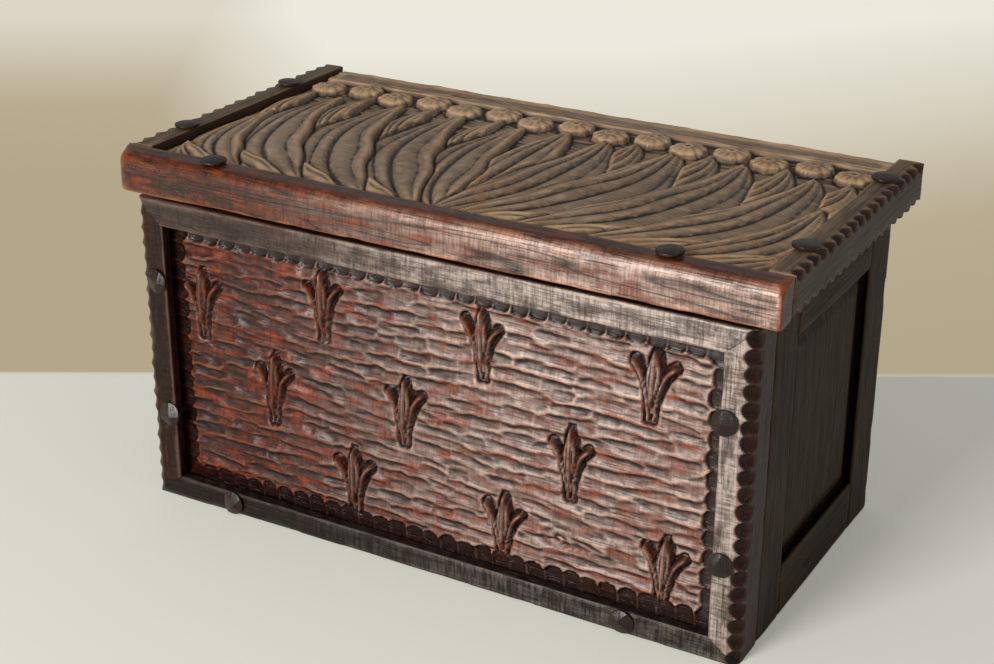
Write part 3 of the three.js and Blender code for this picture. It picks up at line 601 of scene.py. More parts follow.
def work_wood(piece, voxel, grain, seed, waves, chips, gouged=False):
    """Turns a sawn shape into a planed and worn one that keeps inside the sawn one's box."""
    low, high = Vector(piece.bound_box[0]), Vector(piece.bound_box[6])
    apply_modifier(piece, "REMESH", mode="VOXEL", voxel_size=voxel)
    if gouged:
        mark_cuts(piece, low, high)
    plane_by_hand(piece, grain, seed, waves)
    chip_arrises(piece, seed, chips)
    apply_modifier(piece, "SMOOTH", factor=0.5, iterations=2)
    put_points(piece, np.clip(read_points(piece), low, high))
    mark_wear(piece)
    mark_wax_and_sheen(piece)


def finish_piece(piece, body, node, material):
    """Gives a finished piece its finish and its body, and hides the node that it stands for."""
    piece.data.materials.clear()
    piece.data.materials.append(material)
    select_only(piece)
    bpy.ops.object.shade_smooth()
    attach(piece, body)
    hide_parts(node)


# %% [markdown]
# The floor is a plain pale cloth. The wall behind it is only another tone past a line on the same
# plane, so the camera can go all the way round and nothing stands in its way. Its light and shade
# are painted on it: paler further up and darker towards each side.

# %% Floor
FLOOR_SIZE = 16
CLOTH_COLOUR = "f4f3ea"
CLOTH_ROUGHNESS = 0.9
FLOOR_TONE = "fbfcf3"
FLOOR_GLOW = 0.2
WALL_FROM = 0.142
WALL_BRIGHT = 1.0
WALL_SOFTNESS = 0.008
# The wall's tones from low to high: painted shade below and painted light above.
shaded_wall_tones = ((0.0, "b3a68a"), (0.22, "b9ac91"), (0.5, "d6d0be"), (0.85, "eceade"))
shaded_wall_sides = ({"near": 0.12, "far": 0.84, "dim": 0.36}, {"near": -0.17, "far": -0.3, "dim": 0.42})


def add_floor():
    """One big plane: cloth in front, and behind a line across the view the wall, which the camera
    sees in its own glowing tones. They are painted light and shade: paler further up, and the tone
    of a lower place where it lies far to one side."""
    bpy.ops.mesh.primitive_plane_add(size=FLOOR_SIZE)
    floor = bpy.context.object
    floor.name = "floor"
    material = bpy.data.materials.new("pale_cloth")
    material.use_nodes = True
    tree = material.node_tree
    cloth = tree.nodes["Principled BSDF"]
    cloth.inputs["Base Color"].default_value = tint(CLOTH_COLOUR)
    cloth.inputs["Roughness"].default_value = CLOTH_ROUGHNESS
    parts = add(tree, "SeparateXYZ", {"Vector": object_places(tree, turn=CAMERA_TURN)})
    far = spread(tree, parts.outputs["Y"], WALL_FROM, WALL_FROM + WALL_SOFTNESS)
    height = spread(tree, parts.outputs["Y"], WALL_FROM, WALL_BRIGHT)
    # Painted shade: far to either side the wall takes the darker tone of a lower place.
    for side in shaded_wall_sides:
        dim = spread(tree, parts.outputs["X"], side["near"], side["far"], 0.0, side["dim"])
        height = maths(tree, "SUBTRACT", height, dim)
    wall_tone = ramp(tree, height, [(place, tint(code)) for place, code in shaded_wall_tones])
    tone = blend(tree, far, tint(FLOOR_TONE), wall_tone)
    lit = add(tree, "Emission", {"Color": tone, "Strength": 1.0}).outputs["Emission"]
    seen = add(tree, "LightPath", {}).outputs["Is Camera Ray"]
    share = times(tree, maths(tree, "MAXIMUM", far, FLOOR_GLOW), seen)
    mixed = add(tree, "MixShader", {0: share, 1: cloth.outputs["BSDF"], 2: lit})
    tree.links.new(mixed.outputs["Shader"], tree.nodes["Material Output"].inputs["Surface"])
    floor.data.materials.append(material)


add_floor()
print("floor", FLOOR_SIZE, "m wide, the wall starts", WALL_FROM, "m behind the middle")

# %% [markdown]
# The front frame is four oak members that meet in mitres. Each could be the model's own solid with
# a new finish, but those have machine-straight edges. So each starts as a block: the panel's groove
# is cut with a second block, a round gouge bites its outer arris all the way up, each bite a little
# different, and it is planed and worn. Its ends are sawn to the mitre last, so the joints are tight.

# %% Places of the front
body_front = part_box("front_bottom_rail")[0].y
frame_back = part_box("front_bottom_rail")[1].y
body_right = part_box("front_right_stile")[1].x
field_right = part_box("front_right_stile")[0].x
field_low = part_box("front_bottom_rail")[1].z
field_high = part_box("front_top_rail")[0].z
front_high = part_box("front_top_rail")[1].z
panel_low, panel_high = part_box("front_panel")
PANEL_THICKNESS = 0.009
field_face = panel_high.y - PANEL_THICKNESS
SEAT_GAP = 0.0003
GROOVE = 0.005
OVERRUN = 0.002
print("front field", round(2 * field_right, 4), "by", round(field_high - field_low, 4), "m")

# %% Gouge bites
BITE_PITCH = 0.008
LEFT_BITE = {"radius": 0.008, "depth": 0.0026}
RIGHT_BITE = {"radius": 0.0048, "depth": 0.0046}
GOUGE_SIDES = 28
GOUGE_LENGTH = 0.02


def gouge_row(start, end, face_a, face_b, pitch, radius, depth, seed):
    """Bites across the arris from start to end: (middle, direction, radius) of each one."""
    chance = random.Random(seed)
    run = end - start
    count = round(run.length / pitch)
    outward = (face_a + face_b).normalized()
    across = (face_a - face_b).normalized()
    bites = []
    for number in range(count):
        middle = start + run * ((number + 0.5 + chance.uniform(-0.08, 0.08)) / count)
        own_radius = radius * chance.uniform(0.95, 1.05)
        middle += outward * (own_radius - depth * chance.uniform(0.93, 1.03))
        tilt = run.normalized() * chance.uniform(-0.12, 0.12)
        bites.append((middle, (across + tilt).normalized(), own_radius))
    return bites


def bite(piece, bites, length):
    """Cuts each bite that meets the piece with a round gouge."""
    low, high = Vector(piece.bound_box[0]), Vector(piece.bound_box[6])
    for middle, direction, radius in bites:
        if all(low[i] - radius < middle[i] < high[i] + radius for i in range(3)):
            bpy.ops.object.select_all(action="DESELECT")
            bpy.ops.mesh.primitive_cylinder_add(
                vertices=GOUGE_SIDES, radius=radius, depth=length, location=middle,
                rotation=direction.to_track_quat("Z", "Y").to_euler())
            cut(piece, bpy.context.object)


FRONT, BACK = Vector((0, -1, 0)), Vector((0, 1, 0))
RIGHT, LEFT = Vector((1, 0, 0)), Vector((-1, 0, 0))
UP, DOWN = Vector((0, 0, 1)), Vector((0, 0, -1))
stile_bites = []
for seed, (side, outward, gouge) in enumerate([(-1, LEFT, LEFT_BITE), (1, RIGHT, RIGHT_BITE)]):
    stile_bites += gouge_row(
        Vector((side * body_right, body_front, 0)), Vector((side * body_right, body_front, front_high)),
        FRONT, outward, BITE_PITCH, seed=seed, **gouge)
print("bites on the two front arrises:", len(stile_bites))

# %% Frame members
FRAME_VOXEL = 0.0008
FRAME_WAVES = ((0.022, 0.0005), (0.006, 0.0002))
MITRE_GAP = 0.00005
CHIP_DEPTH = 0.0007
RAIL_RISE = 0.0006


def panel_groove():
    """The room that the frame's four members leave for the panel's edges."""
    return block(
        "groove", (-field_right - GROOVE, field_face - SEAT_GAP, field_low - GROOVE),
        (field_right + GROOVE, field_face + PANEL_THICKNESS + SEAT_GAP, field_high + GROOVE))


def slice_off(piece, point, normal):
    """Cuts away what lies beyond a plane and closes the cut."""
    with editing(piece):
        bpy.ops.mesh.bisect(plane_co=point, plane_no=normal, use_fill=True, clear_outer=True)


def mitre(side, inner, outer):
    """The plane from the field's corner to the frame's corner: a point, and a normal to the stile."""
    corner = Vector((side * body_right, 0, outer))
    normal = Vector((side * abs(outer - inner), 0, math.copysign(body_right - field_right, inner - outer)))
    return corner, normal.normalized()


def frame_member(node, low, high, mitres, grain, material, seed):
    """A block with a groove and gouge bites, planed and worn, with its ends sawn last."""
    piece = block("carved_" + node, low, high)
    cut(piece, panel_groove())
    bite(piece, stile_bites, GOUGE_LENGTH)
    work_wood(piece, FRAME_VOXEL, grain, seed, FRAME_WAVES, CHIP_DEPTH, gouged=True)
    for corner, normal in mitres:
        slice_off(piece, corner - MITRE_GAP * normal, normal)
    finish_piece(piece, "chest", node, material)
    print(piece.name, len(piece.data.polygons), "faces")


def front_rail(node, inner, outer, material, seed):
    """A rail across the front: inner is the height of its edge along the panel."""
    low, high = sorted((inner, outer))
    frame_member(
        node, (-body_right, body_front, low), (body_right, frame_back, high),
        [mitre(side, inner, outer) for side in (-1, 1)], ALONG_X, material, seed)


def front_stile(node, side, seed):
    """An upright at one end of the front: side is -1 on the left and 1 on the right."""
    low_x, high_x = sorted((side * body_right, side * field_right))
    ends = [mitre(side, field_low, 0), mitre(side, field_high, rail_top)]
    frame_member(
        node, (low_x, body_front, 0), (high_x, frame_back, rail_top),
        [(corner, -normal) for corner, normal in ends], ALONG_Z, stile_oak, seed)


rail_top = front_high + RAIL_RISE
front_rail("front_bottom_rail", field_low, 0, sill_oak, 10)
front_rail("front_top_rail", field_high, rail_top, rail_oak, 11)
front_stile("front_left_stile", -1, 20)
front_stile("front_right_stile", 1, 21)

# %% [markdown]
# The front panel is the main carving: a ground of long overlapping gouge strokes, a row of
# half-moon pockets along the frame, and ten sprigs. Solid modelling can't give hundreds of soft
# strokes that run into each other, so this piece is a fine grid whose points are set by code, as
# a carver lowers the wood: each tool only ever takes wood away from what is left.

# %% Carving tools for a grid
FRONT_CELL = 0.0007
STEEP_SIDE = 2.5
GENTLE_SIDE = 0.65
WIDE_RAG = 0.0035
FINE_RAG = 0.0014
RAG_STRETCH = 1.6


def grid_places(low_x, high_x, low_y, high_y, cell):
    """Tables of the two coordinates over a panel."""
    across = np.linspace(low_x, high_x, round((high_x - low_x) / cell) + 1)
    along = np.linspace(low_y, high_y, round((high_y - low_y) / cell) + 1)
    return np.meshgrid(across, along)


def near(x, y, ends, margin):
    """The part of the tables that lies within a margin of some points, or None."""
    low_x, low_y = np.min(ends, axis=0) - margin
    high_x, high_y = np.max(ends, axis=0) + margin
    columns = np.flatnonzero((x[0] >= low_x) & (x[0] <= high_x))
    rows = np.flatnonzero((y[:, 0] >= low_y) & (y[:, 0] <= high_y))
    if len(columns) == 0 or len(rows) == 0:
        return None
    return slice(rows[0], rows[-1] + 1), slice(columns[0], columns[-1] + 1)


def waves_on(x, y, length, stretch, seed):
    """Smooth random values on a grid, drawn out along the first coordinate."""
    level = np.full(x.size, seed * 0.37)
    places = np.stack([x.ravel() / (length * stretch), y.ravel() / length, level], axis=1)
    return wander(places, seed).reshape(x.shape)


def raised_grain(x, y, grain, seed):
    """The fine ribs of weathered wood."""
    return grain["height"] * waves_on(x, y, grain["length"], grain["stretch"], seed)


def soften(height, rounds):
    """Each round takes the sharpest edge off a carved grid."""
    for _ in range(rounds):
        wide = np.pad(height, 1, mode="edge")
        height = height / 2 + (wide[:-2, 1:-1] + wide[2:, 1:-1] + wide[1:-1, :-2] + wide[1:-1, 2:]) / 8
    return height


def gouge_ground(x, y, low, high, rows, swing, turn, stroke, seed):
    """Rows of overlapping strokes between two corners. Each row swings up and down along its way.
    A stroke has a long half length, a wide half width, a depth and a raggedness of its edge. It is
    steep above its deepest line and gentle below, as when the gouge's handle is held low."""
    chance = random.Random(seed)
    ragged = waves_on(x, y, WIDE_RAG, RAG_STRETCH, seed)
    ragged = ragged + 0.5 * waves_on(x, y, FINE_RAG, RAG_STRETCH, seed + 1)
    ragged_y = y + stroke["ragged"] * ragged
    height = np.zeros_like(x)
    pitch = (high[1] - low[1]) / rows
    for row in range(-1, rows + 1):
        share = (row + 0.5) / rows
        own_swing = swing * math.sin(math.pi * min(max(share, 0), 1))
        stroke_x = low[0] - chance.uniform(0, 2 * stroke["long"])
        while stroke_x < high[0] + stroke["long"]:
            half = stroke["long"] * chance.uniform(0.55, 1.3)
            phase = math.pi * stroke_x / high[0] + (row + 0.5) * turn
            own_row = row + 0.6 + chance.uniform(-0.28, 0.28)
            stroke_y = low[1] + own_row * pitch + own_swing * math.sin(phase)
            tilt = own_swing * math.pi / high[0] * math.cos(phase) + chance.uniform(-0.1, 0.06)
            wide = stroke["wide"] * chance.uniform(0.8, 1.25)
            deep = stroke["deep"] * chance.uniform(0.65, 1.2)
            window = near(x, y, [(stroke_x, stroke_y)], 1.2 * half)
            if window:
                dx, dy = x[window] - stroke_x, ragged_y[window] - stroke_y
                u = (dx + dy * tilt) / half
                v = (dy - dx * tilt) / wide
                v = np.where(v > 0, v * STEEP_SIDE, v * GENTLE_SIDE)
                height[window] = np.minimum(height[window], deep * (np.abs(u) ** 3 + v * v - 1))
            stroke_x += half * chance.uniform(0.9, 1.5)
    return height


def along_bend(x, y, root, bend, tip, steps=64):
    """For each point: its share of the way along a bent line, its signed distance aside, and how
    far it lies past the nearer end, below zero between them."""
    share = np.linspace(0, 1, steps)[:, None]
    line = (1 - share) ** 2 * root + 2 * share * (1 - share) * bend + share ** 2 * tip
    slope = 2 * (1 - share) * (bend - root) + 2 * share * (tip - bend)
    place = np.stack([x.ravel(), y.ravel()], axis=1)
    apart = ((place[:, None, :] - line[None, :, :]) ** 2).sum(axis=2)
    nearest = apart.argmin(axis=1)
    length = np.linalg.norm(slope[nearest], axis=1)
    tangent = slope[nearest] / length[:, None]
    offset = place - line[nearest]
    aside = offset[:, 0] * tangent[:, 1] - offset[:, 1] * tangent[:, 0]
    raw = share[nearest, 0] + (offset * tangent).sum(axis=1) / length
    past = np.maximum(raw - 1, -raw) * length
    return np.clip(raw, 0, 1).reshape(x.shape), aside.reshape(x.shape), past.reshape(x.shape)


# %% [markdown]
# A sprig has a pointed middle petal with a fine midrib and two side petals that lean out and end
# in blunt tips. Each petal is a ridge along a bent line, and a groove parts it from the next one.
# A cut round all three parts them from the ground. Their places are shares of the field's size.

# %% Sprigs
SPRIG_HEIGHT = 0.037
SPRIG_SPREAD = 0.0105
SPRIG_RELIEF = 0.0031
PETAL_GROOVE = 0.0022
PETAL_GROOVE_WIDTH = 0.0011
SPRIG_STAIN = 0.28
OUTLINE_WIDTH = 0.002
OUTLINE_DEPTH = 0.0023
MIDDLE_SHARE = 0.36
SIDE_FOOT_SHARE = 0.07
SIDE_SWELL_SHARE = 0.085
CREST_SHARE = 0.3
CARVED_CLEAR = 0.0001
sprig_shares = [
    (0.057, 0.586), (0.302, 0.686), (0.598, 0.686), (0.882, 0.686), (0.195, 0.312),
    (0.452, 0.364), (0.753, 0.327), (0.355, 0.035), (0.634, 0.02), (0.912, 0.02),
]


def middle_petal(x, y, size, spread):
    """Height of the middle petal and distance out of its edge."""
    root = np.array((0, 0.1 * size))
    bend = np.array((0.05 * spread, 0.5 * size))
    tip = np.array((0.02 * spread, size))
    share, aside, past = along_bend(x, y, root, bend, tip)
    half = MIDDLE_SHARE * spread * (0.15 + 0.85 * smooth_step((share - 0.05) / 0.6))
    half *= np.where(share > 0.66, np.clip((1 - share) / 0.34, 0, 1) ** 0.6 * 0.93 + 0.07, 1)
    q = np.abs(aside) / half
    rise = smooth_step(share / 0.3) * 0.75 + 0.25
    midrib = 0.12 * np.exp(-(q / 0.14) ** 2) - 0.3 * np.exp(-((q - 0.38) / 0.16) ** 2)
    face = 0.45 + 0.55 * (1 - q ** 2) + midrib
    return rise * face, np.maximum(np.abs(aside) - half, past)


def side_petal(x, y, side, size, spread, lift):
    """Height of a side petal and distance out of its edge: it widens to a blunt tip."""
    root = np.array((side * 0.13 * spread, 0.0))
    bend = np.array((side * 0.12 * spread, 0.62 * size))
    tip = np.array((side * spread, lift * size))
    share, aside, past = along_bend(x, y, root, bend, tip)
    half = spread * (SIDE_FOOT_SHARE + SIDE_SWELL_SHARE * smooth_step(share / 0.75))
    q = aside * side / half
    ridge = np.where(q > CREST_SHARE, (1 - q) / (1 - CREST_SHARE), (1 + q) / (1 + CREST_SHARE))
    rise = smooth_step(share / 0.35) * 0.8 + 0.2
    edge = np.hypot(np.maximum(past + half, 0), aside) - half
    return rise * (0.3 + 0.7 * np.clip(ridge, 0, 1) ** 0.8), edge


def carve_sprig(x, y, height, stain, foot_x, foot_y, chance):
    """Raises one sprig on the ground and cuts its outline. It darkens the sprig a little, and paints
    shade into the trench round it.
    """
    size = SPRIG_HEIGHT * chance.uniform(0.95, 1.02)
    spread = SPRIG_SPREAD * chance.uniform(0.92, 1.08)
    lean = chance.uniform(-0.07, 0.07)
    window = near(x, y, [(foot_x, foot_y), (foot_x, foot_y + size)], 2 * spread)
    local_y = y[window] - foot_y
    local_x = x[window] - foot_x - lean * local_y
    petals = []
    for side in (-1, 1):
        petals.append(side_petal(local_x, local_y, side, size, spread, chance.uniform(0.76, 0.86)))
    petals.append(middle_petal(local_x, local_y, size, spread))
    outside = np.min([edge for _, edge in petals], axis=0)
    below = height[window]
    trench = np.clip(1 - outside / OUTLINE_WIDTH, 0, 1)
    carved = below - OUTLINE_DEPTH * trench ** 0.8
    for face, edge in petals:
        top = SPRIG_RELIEF * face
        groove = np.clip(1 - np.abs(edge) / PETAL_GROOVE_WIDTH, 0, 1)
        under = np.where(carved < below - CARVED_CLEAR, -1, carved)
        carved = np.where(edge < 0, np.maximum(under, top), carved)
        carved = carved - np.where(outside < 0, PETAL_GROOVE * groove, 0)
    height[window] = carved
    # Painted shade: the trench round the sprig is darkened as its shadow; the sprig itself is a little
    # darker.
    dark = np.where(outside < 0, SPRIG_STAIN, np.clip(1.1 - outside / OUTLINE_WIDTH, 0, 1))
    stain[window] = np.maximum(stain[window], dark)


# %% [markdown]
# Along the frame the ground is cut down by a row of half-moon pockets, each pushed in with a wide
# gouge. Seen from the front they are a band of painted shade whose frame side is straight and whose
# other side is scalloped.

# %% Pockets and the knot
POCKET_PITCH = 0.0092
POCKET_REACH = 0.0044
POCKET_BULGE = 0.0028
POCKET_DEPTH = 0.0024
POCKET_RIM = 0.0009


def cut_pockets(height, distance, along, length, seed):
    """Distance is how far a point lies from the frame, along its place on that side. Gives the new
    height and how dark the painted shade in the pockets is."""
    count = math.floor(length / POCKET_PITCH)
    turn = along / length * count
    number = np.clip(np.floor(turn), 0, count - 1).astype(int)
    own = np.random.default_rng(seed).uniform(-1, 1, (3, count))
    local = (turn - number) * 2 - 1 + 0.12 * own[0][number]
    bulge = np.sqrt(np.clip(1 - local ** 2, 0, 1))
    reach = POCKET_REACH * (1 + 0.08 * own[1][number]) + POCKET_BULGE * (1 + 0.2 * own[2][number]) * bulge
    share = np.clip(distance / reach, 0, 1)
    floor = -POCKET_DEPTH * (0.7 + 0.3 * bulge) * (1.15 - 0.35 * share)
    # Painted shade: the pockets and a narrow rim round them are darkened as deep hollows in shadow.
    dark = np.clip(1 + (reach - distance) / POCKET_RIM, 0, 1)
    return np.where(distance < reach, np.minimum(height, floor), height), dark


KNOT_AT = (0.0675, 0.035)
KNOT_RADIUS = 0.012
KNOT_STRETCH = 1.5
RING_PITCH = 0.00065
RING_RELIEF = 0.0004
PIT_RADIUS = 0.0028
PIT_DEPTH = 0.0009


def press_knot(x, y, height):
    """A knot: rings that swirl round a small pit."""
    dx, dy = (x - KNOT_AT[0]) / KNOT_STRETCH, y - KNOT_AT[1]
    far = np.hypot(dx, dy)
    turn = np.arctan2(dy, dx)
    fade = np.clip(1 - far / KNOT_RADIUS, 0, 1)
    rings = np.sin(far / RING_PITCH + 1.6 * turn)
    return height + fade * (RING_RELIEF * rings - PIT_DEPTH * np.exp(-(far / PIT_RADIUS) ** 2))


# %% Front panel
GROUND_ROWS = 24
GROUND_SWING = 0.0032
GROUND_TURN = 0.35
GROUND_LIFT = 0.0005
STROKE = {"long": 0.0145, "wide": 0.0037, "deep": 0.0019, "ragged": 0.0007}
FRONT_GRAIN = {"length": 0.0016, "stretch": 3, "height": 0.00012}
FRONT_WEAR = {"fine": 0.00015, "wide": 0.0022}


def carve_front():
    """The height of the front panel's face over its whole width, and how dark it is: the sprigs'
    own darker tone and the painted shade in their trenches and in the pockets.
    """
    x, z = grid_places(panel_low.x, panel_high.x, panel_low.z, panel_high.z, FRONT_CELL)
    low, high = (-field_right, field_low), (field_right, field_high)
    height = gouge_ground(x, z, low, high, GROUND_ROWS, GROUND_SWING, GROUND_TURN, STROKE, 3)
    height = soften(height + GROUND_LIFT, 1)
    height += raised_grain(x, z, FRONT_GRAIN, 5)
    height = press_knot(x, z, height)
    chance = random.Random(7)
    wide, tall = 2 * field_right, field_high - field_low
    stain = np.zeros_like(x)
    for across, up in sprig_shares:
        carve_sprig(x, z, height, stain, wide * across - field_right, field_low + tall * up, chance)
    sides = ((field_high - z, x + field_right, wide), (z - field_low, x + field_right, wide),
             (x + field_right, z - field_low, tall), (field_right - x, z - field_low, tall))
    for seed, (distance, along, length) in enumerate(sides, 31):
        height, dark = cut_pockets(height, distance, along, length, seed)
        stain = np.maximum(stain, dark)
    hidden = (np.abs(x) > field_right) | (z < field_low) | (z > field_high)
    return x, z, np.where(hidden, np.minimum(height, 0), height), stain


def board_grid(name, rows, columns):
    """A grid with the wanted number of points each way, one metre square, flat on the floor."""
    bpy.ops.object.select_all(action="DESELECT")
    bpy.ops.mesh.primitive_grid_add(x_subdivisions=columns - 1, y_subdivisions=rows - 1, size=1)
    piece = bpy.context.object
    piece.name = name
    return piece


def shape_board(piece, tables):
    """Puts the grid's points at three tables of places, row by row. Gives the points' order back."""
    flat = read_points(piece).round(6)
    order = np.lexsort((flat[:, 0], flat[:, 1]))
    points = np.empty_like(flat)
    points[order] = np.stack([table.ravel() for table in tables], axis=1)
    put_points(piece, points)
    return order


BACK_MARGIN = 0.002
LARGE_FACE = 0.00003


def give_thickness(piece, move, flat, centre):
    """Draws the grid's rim back, flattens it on the board's other face and closes it. The margin
    keeps the soft shading of the rim off the flat face."""
    with editing(piece, "EDGE", False):
        bpy.ops.mesh.select_non_manifold()
        bpy.ops.mesh.extrude_edges_move(TRANSFORM_OT_translate={"value": move})
        bpy.ops.transform.resize(value=flat, center_override=centre)
        bpy.ops.mesh.edge_face_add()
        bpy.ops.mesh.inset(thickness=BACK_MARGIN)
        bpy.ops.mesh.select_all(action="SELECT")
        bpy.ops.mesh.normals_make_consistent(inside=False)


def clean_plain_faces(piece, *names):
    """Shades the board's large plain faces flat and clears these values on them, so that its back
    keeps nothing of the carved rim that it grew from."""
    for face in piece.data.polygons:
        if face.area > LARGE_FACE:
            face.use_smooth = False
            for name in names:
                values = piece.data.attributes[name].data
                for point in face.vertices:
                    values[point].value = 0.0


def front_panel():
    """The carved board behind the frame."""
    x, z, height, stain = carve_front()
    piece = board_grid("carved_front_panel", *x.shape)
    order = shape_board(piece, (x, field_face - height, z))
    # These cut values carry the sprigs' darker tone and the painted shade of the trenches and pockets.
    gouged = np.zeros(x.size)
    gouged[order] = stain.ravel()
    write_values(piece, "cut", gouged)
    give_thickness(piece, (0, PANEL_THICKNESS, 0), (1, 0, 1), (0, panel_high.y, 0))
    mark_wear(piece, **FRONT_WEAR)
    mark_wax_and_sheen(piece)
    finish_piece(piece, "chest", "front_panel", field_oak)
    clean_plain_faces(piece, "worn", "cut")
    return piece


panel = front_panel()
print(panel.name, len(panel.data.polygons), "faces")

# %% [markdown]
# The lid's nosing is one moulded board across the front: round on top, eased below, its left end
# rounded off and its right one nearly square. It could be a swept profile, but a block whose edges
# are beveled one after another is how a joiner makes it, with a plane. Its groove takes the
# panel's tongue.

# %% Places of the lid
nosing_low, nosing_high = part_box("lid_front_nosing")
batten_low, batten_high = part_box("lid_right_batten")
lid_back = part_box("lid_panel")[1].y
PANEL_DROP = 0.005
TONGUE_THICKNESS = 0.006
TONGUE_LENGTH = 0.007
lid_under, lid_top = nosing_low.z, nosing_high.z
panel_top = lid_top - PANEL_DROP
panel_right = batten_low.x - SEAT_GAP
tongue_low = lid_under + (lid_top - lid_under - PANEL_DROP - TONGUE_THICKNESS) / 2
print("lid", round(2 * nosing_high.x, 4), "by", round(batten_high.y - nosing_low.y, 4), "m")

# %% Nosing
NOSING_VOXEL = 0.0009
NOSING_WAVES = ((0.03, 0.0006), (0.007, 0.0002))
NOSING_CHIPS = 0.0008
NOSING_TOP_ROUND = 0.0062
NOSING_BOTTOM_ROUND = 0.0014
NOSING_DROP = 0.0006
NOSING_LEFT_ROUND = 0.0085
NOSING_RIGHT_ROUND = 0.0023
ROUND_STEPS = 7


def round_edges(piece, chosen, width):
    """Bevels the edges whose two ends both pass a test."""
    with editing(piece, "EDGE", False):
        select_where(piece, "edges", lambda edge: all(chosen(end.co) for end in edge.verts))
        bpy.ops.mesh.bevel(offset=width, segments=ROUND_STEPS, profile=0.5)


def tongue_groove():
    """The room that the battens and the nosing leave for the panel's tongue."""
    return block(
        "groove", (-panel_right - TONGUE_LENGTH, nosing_high.y - TONGUE_LENGTH, tongue_low - SEAT_GAP),
        (panel_right + TONGUE_LENGTH, batten_high.y + OVERRUN, tongue_low + TONGUE_THICKNESS + SEAT_GAP))


def nosing():
    """The moulded board across the lid's front, a little lower than its solid so that the gap
    under the lid is as narrow as in the photograph."""
    piece = block("worn_nosing", nosing_low - Vector((0, 0, NOSING_DROP)), nosing_high)
    front = nosing_low.y + OVERRUN
    round_edges(piece, lambda end: end.y < front and end.x < 0, NOSING_LEFT_ROUND)
    round_edges(piece, lambda end: end.y < front and end.x > nosing_high.x - OVERRUN, NOSING_RIGHT_ROUND)
    deep = nosing_low.y + NOSING_LEFT_ROUND + OVERRUN
    round_edges(piece, lambda end: end.y < deep and end.z > lid_top - OVERRUN, NOSING_TOP_ROUND)
    round_edges(piece, lambda end: end.y < deep and end.z < lid_under + OVERRUN, NOSING_BOTTOM_ROUND)
    cut(piece, tongue_groove())
    work_wood(piece, NOSING_VOXEL, ALONG_X, 40, NOSING_WAVES, NOSING_CHIPS)
    finish_piece(piece, "lid", "lid_front_nosing", nosing_oak)
    return piece


print("nosing faces:", len(nosing().data.polygons))

# %% [markdown]
# The battens close the ends of the lid and carry the same scallops as the front stiles: deep ones
# along the top arris and shallow ones below.

# %% Battens
BATTEN_VOXEL = 0.0008
BATTEN_WAVES = ((0.02, 0.0005), (0.006, 0.00025))
BATTEN_CHIPS = 0.0006
NOTCH_PITCH = 0.0092
LEFT_NOTCH = {"radius": 0.0062, "depth": 0.0026}
RIGHT_NOTCH = {"radius": 0.0044, "depth": 0.0034}
UNDER_NOTCH = {"radius": 0.0046, "depth": 0.0024}


def batten(word, side, outward, notch, seed):
    """A board at one end of the lid, with its notches and its groove."""
    low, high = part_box("lid_" + word + "_batten")
    piece = block("worn_" + word + "_batten", low, high)
    outer = side * batten_high.x
    for z, face, gouge in ((lid_top, UP, notch), (lid_under, DOWN, UNDER_NOTCH)):
        row = gouge_row(
            Vector((outer, low.y, z)), Vector((outer, high.y, z)), face, outward,
            NOTCH_PITCH, seed=seed + round(z * 1000), **gouge)
        bite(piece, row, GOUGE_LENGTH)
    cut(piece, tongue_groove())
    work_wood(piece, BATTEN_VOXEL, ALONG_Y, seed, BATTEN_WAVES, BATTEN_CHIPS, gouged=True)
    finish_piece(piece, "lid", "lid_" + word + "_batten", batten_oak)
    print(piece.name, len(piece.data.polygons), "faces")


batten("left", -1, LEFT, LEFT_NOTCH, 50)
batten("right", 1, RIGHT, RIGHT_NOTCH, 60)

# %% [markdown]
# The lid's panel is carved with big fluted leaves that sweep out from a middle one, with small
# leaves between their tips and along the front edge, a row of seed heads behind them, and a plain
# band along the back. Leaves lie over each other, so they are carved in order: each one first cuts
# its outline out of what is below, then stands on the ground. Its section is folded: low on the
# side towards the middle of the lid, high on the other, with narrow flutes along its length. The
# leaves are given as shares: root, bend and tip, each across the half lid and up it, then half width.

# %% Leaves
LEAF_RELIEF = 0.004
LEAF_GROUND = 0.0012
LEAF_OUTLINE = 0.0016
LEAF_CUT = 0.0022
TIP_SHARE = 0.1
RISE_SHARE = 0.5
SWELL_POWER = 0.85
HIGH_SIDE_FLUTES = 1.6
LOW_SIDE_FLUTES = 2.3
FLUTE_SHARE = 0.36
FOLD_EASE = 0.12
SEED_RADIUS = 0.0092
SEED_RIBS = 9
SEED_CUT = 0.0024
SEED_SHARE = 0.95
fold_section_shares = [(-1, 0.15), (-0.5, 0.5), (0, 0.62), (0.6, 1), (1, 0.85)]
even_section_shares = [(-1, 0.6), (-0.5, 0.95), (0, 0.72), (0.5, 1), (1, 0.7)]
middle_leaf_shares = (0, -0.01, 0.02, 0.4, 0, 0.78, 0.105)
leaf_shares = [
    (0.86, 0.4, 0.99, 0.55, 0.95, 0.76, 0.055), (0.66, 0.42, 0.8, 0.58, 0.735, 0.8, 0.055),
    (0.42, 0.42, 0.55, 0.6, 0.49, 0.8, 0.055), (0.2, 0.42, 0.3, 0.6, 0.24, 0.8, 0.05),
    (0, 0, 0.24, 0.3, 0.15, 0.77, 0.115), (0.07, -0.01, 0.47, 0.28, 0.38, 0.78, 0.13),
    (0.1, -0.02, 0.3, 0.02, 0.42, 0.17, 0.06), (0.25, -0.01, 0.7, 0.24, 0.61, 0.77, 0.13),
    (0.3, -0.02, 0.5, 0.02, 0.62, 0.17, 0.06), (0.46, -0.01, 0.93, 0.2, 0.84, 0.75, 0.125),
    (0.5, -0.02, 0.7, 0.02, 0.82, 0.16, 0.06), (0.68, -0.01, 0.985, 0.1, 0.95, 0.52, 0.085),
    (0.74, -0.02, 0.9, 0, 0.985, 0.14, 0.05),
]


